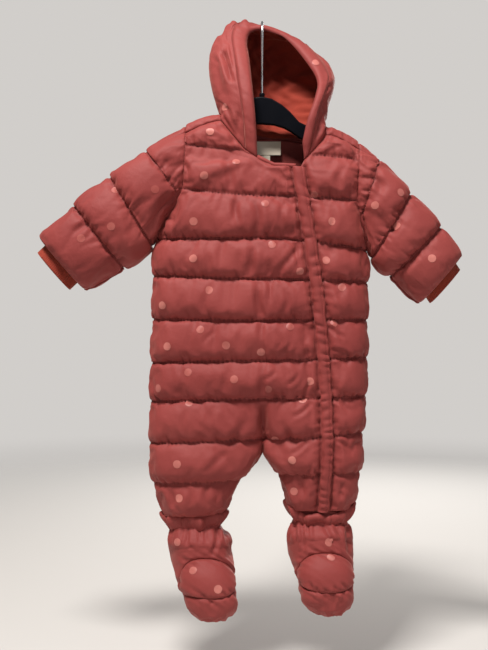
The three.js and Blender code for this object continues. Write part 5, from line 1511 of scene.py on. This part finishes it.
# %% [markdown]
# ## Printed dots
# The cloth is printed with small pale dots, about sixty millimetres apart. Each is a little disc of mesh
# laid on the finished cloth, so it bends over the channels and dips into the seams with it. The dots of
# the front stand where the photograph shows them, and the back and sides get a scattering from a fixed seed.
# They could be masks in the shell's material, but each would need its place there too, and a thin disc
# takes its own finish.

# %% The whole shell as one surface to lay things on
def surface_of(meshes):
    points, faces = [], []
    for mesh in meshes:
        start = len(points)
        points += [vertex.co / MM for vertex in mesh.vertices]
        faces += [[start + v for v in face.vertices] for face in mesh.polygons]
    return BVHTree.FromPolygons(points, faces)


cloth_surface = surface_of([obj.data for obj, _ in padded.values()])
DOTS = [
    (115, 190), (155, 189), (111, 226), (81, 238), (204, 175), (236, 161), (210, 131), (193.5, 221),
    (193, 258), (209, 290), (162, 305), (200, 329), (265, 203), (314, 194), (375, 205), (401, 192),
    (332, 221), (397, 226), (272, 244), (326, 260), (432, 258), (300, 271), (342, 287), (290, 326),
    (334, 323), (167, 346), (226, 345), (261, 352), (188, 372), (234, 379), (158, 388), (268, 389),
    (310, 381), (189, 403), (303, 400), (275, 438), (177, 464), (292, 460), (179, 498), (294, 491),
    (177, 542), (193, 570), (218, 589), (329, 542), (331, 557), (225, 107), (316, 62),
]
DOT_RINGS, DOT_SIDES, DOT_LIFT = (0, 1.9, 3.7, 5.0, 5.7), 20, 0.34
SCATTER_X, SCATTER_Z, SCATTER_WANDER = 58, 52, 9


def dot_centres():
    eye = Vector((EYE_X, -VIEW_DISTANCE / MM, EYE_Z))
    for picture_x, picture_y in DOTS:
        x, z = on_plane(picture_x, picture_y)
        spot, normal, _, _ = cloth_surface.ray_cast(eye, (Vector((x, 0, z)) - eye).normalized())
        if spot:
            yield spot, normal
    scatter = np.random.default_rng(7)
    for row, z in enumerate(np.arange(-20, -830, -SCATTER_Z)):
        for x in np.arange(-300 + SCATTER_X // 2 * (row % 2), 300, SCATTER_X):
            start_x, start_z = x + scatter.uniform(-SCATTER_WANDER, SCATTER_WANDER), z
            start = Vector((start_x, 400, start_z + scatter.uniform(-SCATTER_WANDER, SCATTER_WANDER)))
            spot, normal, _, _ = cloth_surface.ray_cast(start, Vector((0, -1, 0)))
            if spot and normal.y > 0.2:
                yield spot, normal


def dot_point(start, ring, k):
    return start if ring == 0 else start + 1 + (ring - 1) * DOT_SIDES + k % DOT_SIDES


def lay_dots():
    points, faces, flats = [], [], []
    for centre, normal in dot_centres():
        side = normal.orthogonal().normalized()
        up = normal.cross(side)
        start = len(points)
        for radius in DOT_RINGS:
            for k in range(DOT_SIDES if radius else 1):
                turn = 2 * math.pi * k / DOT_SIDES
                x, z = radius * math.cos(turn), radius * math.sin(turn)
                spot, out, _, _ = cloth_surface.find_nearest(centre + side * x + up * z)
                points.append(spot + out * DOT_LIFT)
                flats.append((x * MM, z * MM))
        for k in range(DOT_SIDES):
            faces.append((start, dot_point(start, 1, k), dot_point(start, 1, k + 1)))
        for r in range(1, len(DOT_RINGS) - 1):
            for k in range(DOT_SIDES):
                spots = ((r, k), (r + 1, k), (r + 1, k + 1), (r, k + 1))
                faces.append(tuple(dot_point(start, *spot) for spot in spots))
    uvs = [flats[v] for face in faces for v in face]
    print(len(points) // (1 + DOT_SIDES * (len(DOT_RINGS) - 1)), "dots")
    return mesh_object("printed_dots", points, faces, dot_print, uvs)


dot_print = cloth_material(
    "dot print", srgb(150, 70, 65), srgb(202, 124, 114), 0.42, 0.1, 0.00004, 0.0004, contrast=3.0
)
settle_piece(lay_dots())

# %% [markdown]
# ## Stitches
# The thread shows as short stitches in every sewn valley. A geometry-nodes tree spaces points along the
# lines and sets one small stitch on each, turned along the line, and the result becomes a plain mesh.
# Bump could hint at them, but small beads catch the light as thread does.


# %% The stitch tree
def stitch_tree():
    tree = bpy.data.node_groups.new("stitch run", "GeometryNodeTree")
    tree.interface.new_socket("Lines", in_out="INPUT", socket_type="NodeSocketGeometry")
    spacing = tree.interface.new_socket("Spacing", in_out="INPUT", socket_type="NodeSocketFloat")
    size = tree.interface.new_socket("Length", in_out="INPUT", socket_type="NodeSocketFloat")
    tree.interface.new_socket("Stitches", in_out="OUTPUT", socket_type="NodeSocketGeometry")
    given, result = tree.nodes.new("NodeGroupInput"), tree.nodes.new("NodeGroupOutput")
    along = {"Curve": given.outputs["Lines"], "Length": given.outputs["Spacing"]}
    spaced = wire(tree, "GeometryNodeCurveToPoints", along, mode="LENGTH")
    bead = wire(tree, "GeometryNodeMeshIcoSphere", {"Radius": 0.5, "Subdivisions": 1})
    long = wire(tree, "ShaderNodeCombineXYZ", {0: 0.00042, 1: 0.00042, 2: given.outputs["Length"]})
    placed = wire(tree, "GeometryNodeInstanceOnPoints", {
        "Points": spaced.outputs["Points"], "Instance": bead.outputs["Mesh"],
        "Rotation": spaced.outputs["Rotation"], "Scale": long.outputs[0],
    })
    real = wire(tree, "GeometryNodeRealizeInstances", {0: placed.outputs[0]})
    coloured = wire(tree, "GeometryNodeSetMaterial", {"Geometry": real.outputs[0], "Material": thread})
    tree.links.new(coloured.outputs[0], result.inputs[0])
    return tree, spacing.identifier, size.identifier


thread = cloth_material("sewing thread", srgb(138, 52, 50), srgb(172, 82, 78), 0.6, 0.1, 0.00003, 0.0001)
STITCHES, SPACING, LENGTH = stitch_tree()


# %% Sew
STITCH_SPACING, STITCH_LENGTH, STITCH_LIFT = 3.3, 2.3, 0.12


def stitch_run(name, lines, surface):
    data = bpy.data.curves.new(name, "CURVE")
    data.dimensions = "3D"
    for line in lines:
        laid = []
        for point in line:
            spot, out, _, _ = surface.find_nearest(Vector(point))
            laid.append((spot + out * STITCH_LIFT) * MM)
        spline = data.splines.new("POLY")
        spline.points.add(len(laid) - 1)
        spline.points.foreach_set("co", [v for spot in laid for v in (*spot, 1)])
    lines_object = bpy.data.objects.new(name + "_lines", data)
    bpy.context.collection.objects.link(lines_object)
    modifier = lines_object.modifiers.new("stitches", "NODES")
    modifier.node_group = STITCHES
    modifier[SPACING], modifier[LENGTH] = STITCH_SPACING * MM, STITCH_LENGTH * MM
    graph = bpy.context.evaluated_depsgraph_get()
    mesh = bpy.data.meshes.new_from_object(lines_object.evaluated_get(graph))
    bpy.data.objects.remove(lines_object)
    mesh.polygons.foreach_set("use_smooth", [True] * len(mesh.polygons))
    mesh.polygons.foreach_set("material_index", [0] * len(mesh.polygons))
    mesh.materials.clear()
    mesh.materials.append(thread)
    obj = bpy.data.objects.new(name, mesh)
    bpy.context.collection.objects.link(obj)
    settle_piece(obj)
    print(name, "has", len(mesh.polygons) // 20, "stitches")


def finer(line, gap=1.5):
    along = lengths_along(line)
    at = np.linspace(0, along[-1], max(2, int(along[-1] / gap)))
    return np.stack([np.interp(at, along, line[:, k]) for k in range(3)], -1)


for part in ("front_main", "front_side", "back", "sleeve_right", "sleeve_left"):
    lines = [finer(line) for panel, line in quilt_lines if panel == part]
    stitch_run(f"stitches_{part}", lines, cloth_surface)

graph = bpy.context.evaluated_depsgraph_get()
flap_mesh = bpy.data.objects["zip_flap_cloth"].evaluated_get(graph).data
stitch_run("stitches_zip_flap", [finer(FLAP_STITCHES)], surface_of([flap_mesh]))

# %% [markdown]
# ## The zip
# Under the flap the zip itself is a woven tape. It shows only at its top end and from inside, so its teeth
# needn't be made: the solid's own mesh stays and takes the cloth's finish.

# %% Zip tape
zip_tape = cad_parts["zip"]
zip_tape.data.materials.clear()
zip_tape.data.materials.append(shell)

# %% Floor
FLOOR_HALF, FLOOR_LEVEL = 6000, -930
corners = [(x * FLOOR_HALF, y * FLOOR_HALF, FLOOR_LEVEL) for x, y in ((-1, -1), (1, -1), (1, 1), (-1, 1))]
floor_finish, tree, shader = new_finish("pale floor", {
    "Base Color": (0.60, 0.58, 0.555, 1), "Roughness": 0.9, "Specular IOR Level": 0.1,
})
spot = wire(tree, "ShaderNodeTexCoord").outputs["Object"]
far = wire(tree, "ShaderNodeVectorMath", {0: spot}, operation="LENGTH").outputs["Value"]
fade = ramp(tree, far, 1.0, 3.2, 1.0, 0.0, interpolation_type="SMOOTHSTEP")
tree.links.new(fade, shader.inputs["Alpha"])
floor = mesh_object("floor", corners, [(0, 1, 2, 3)], floor_finish, smooth_shading=False)
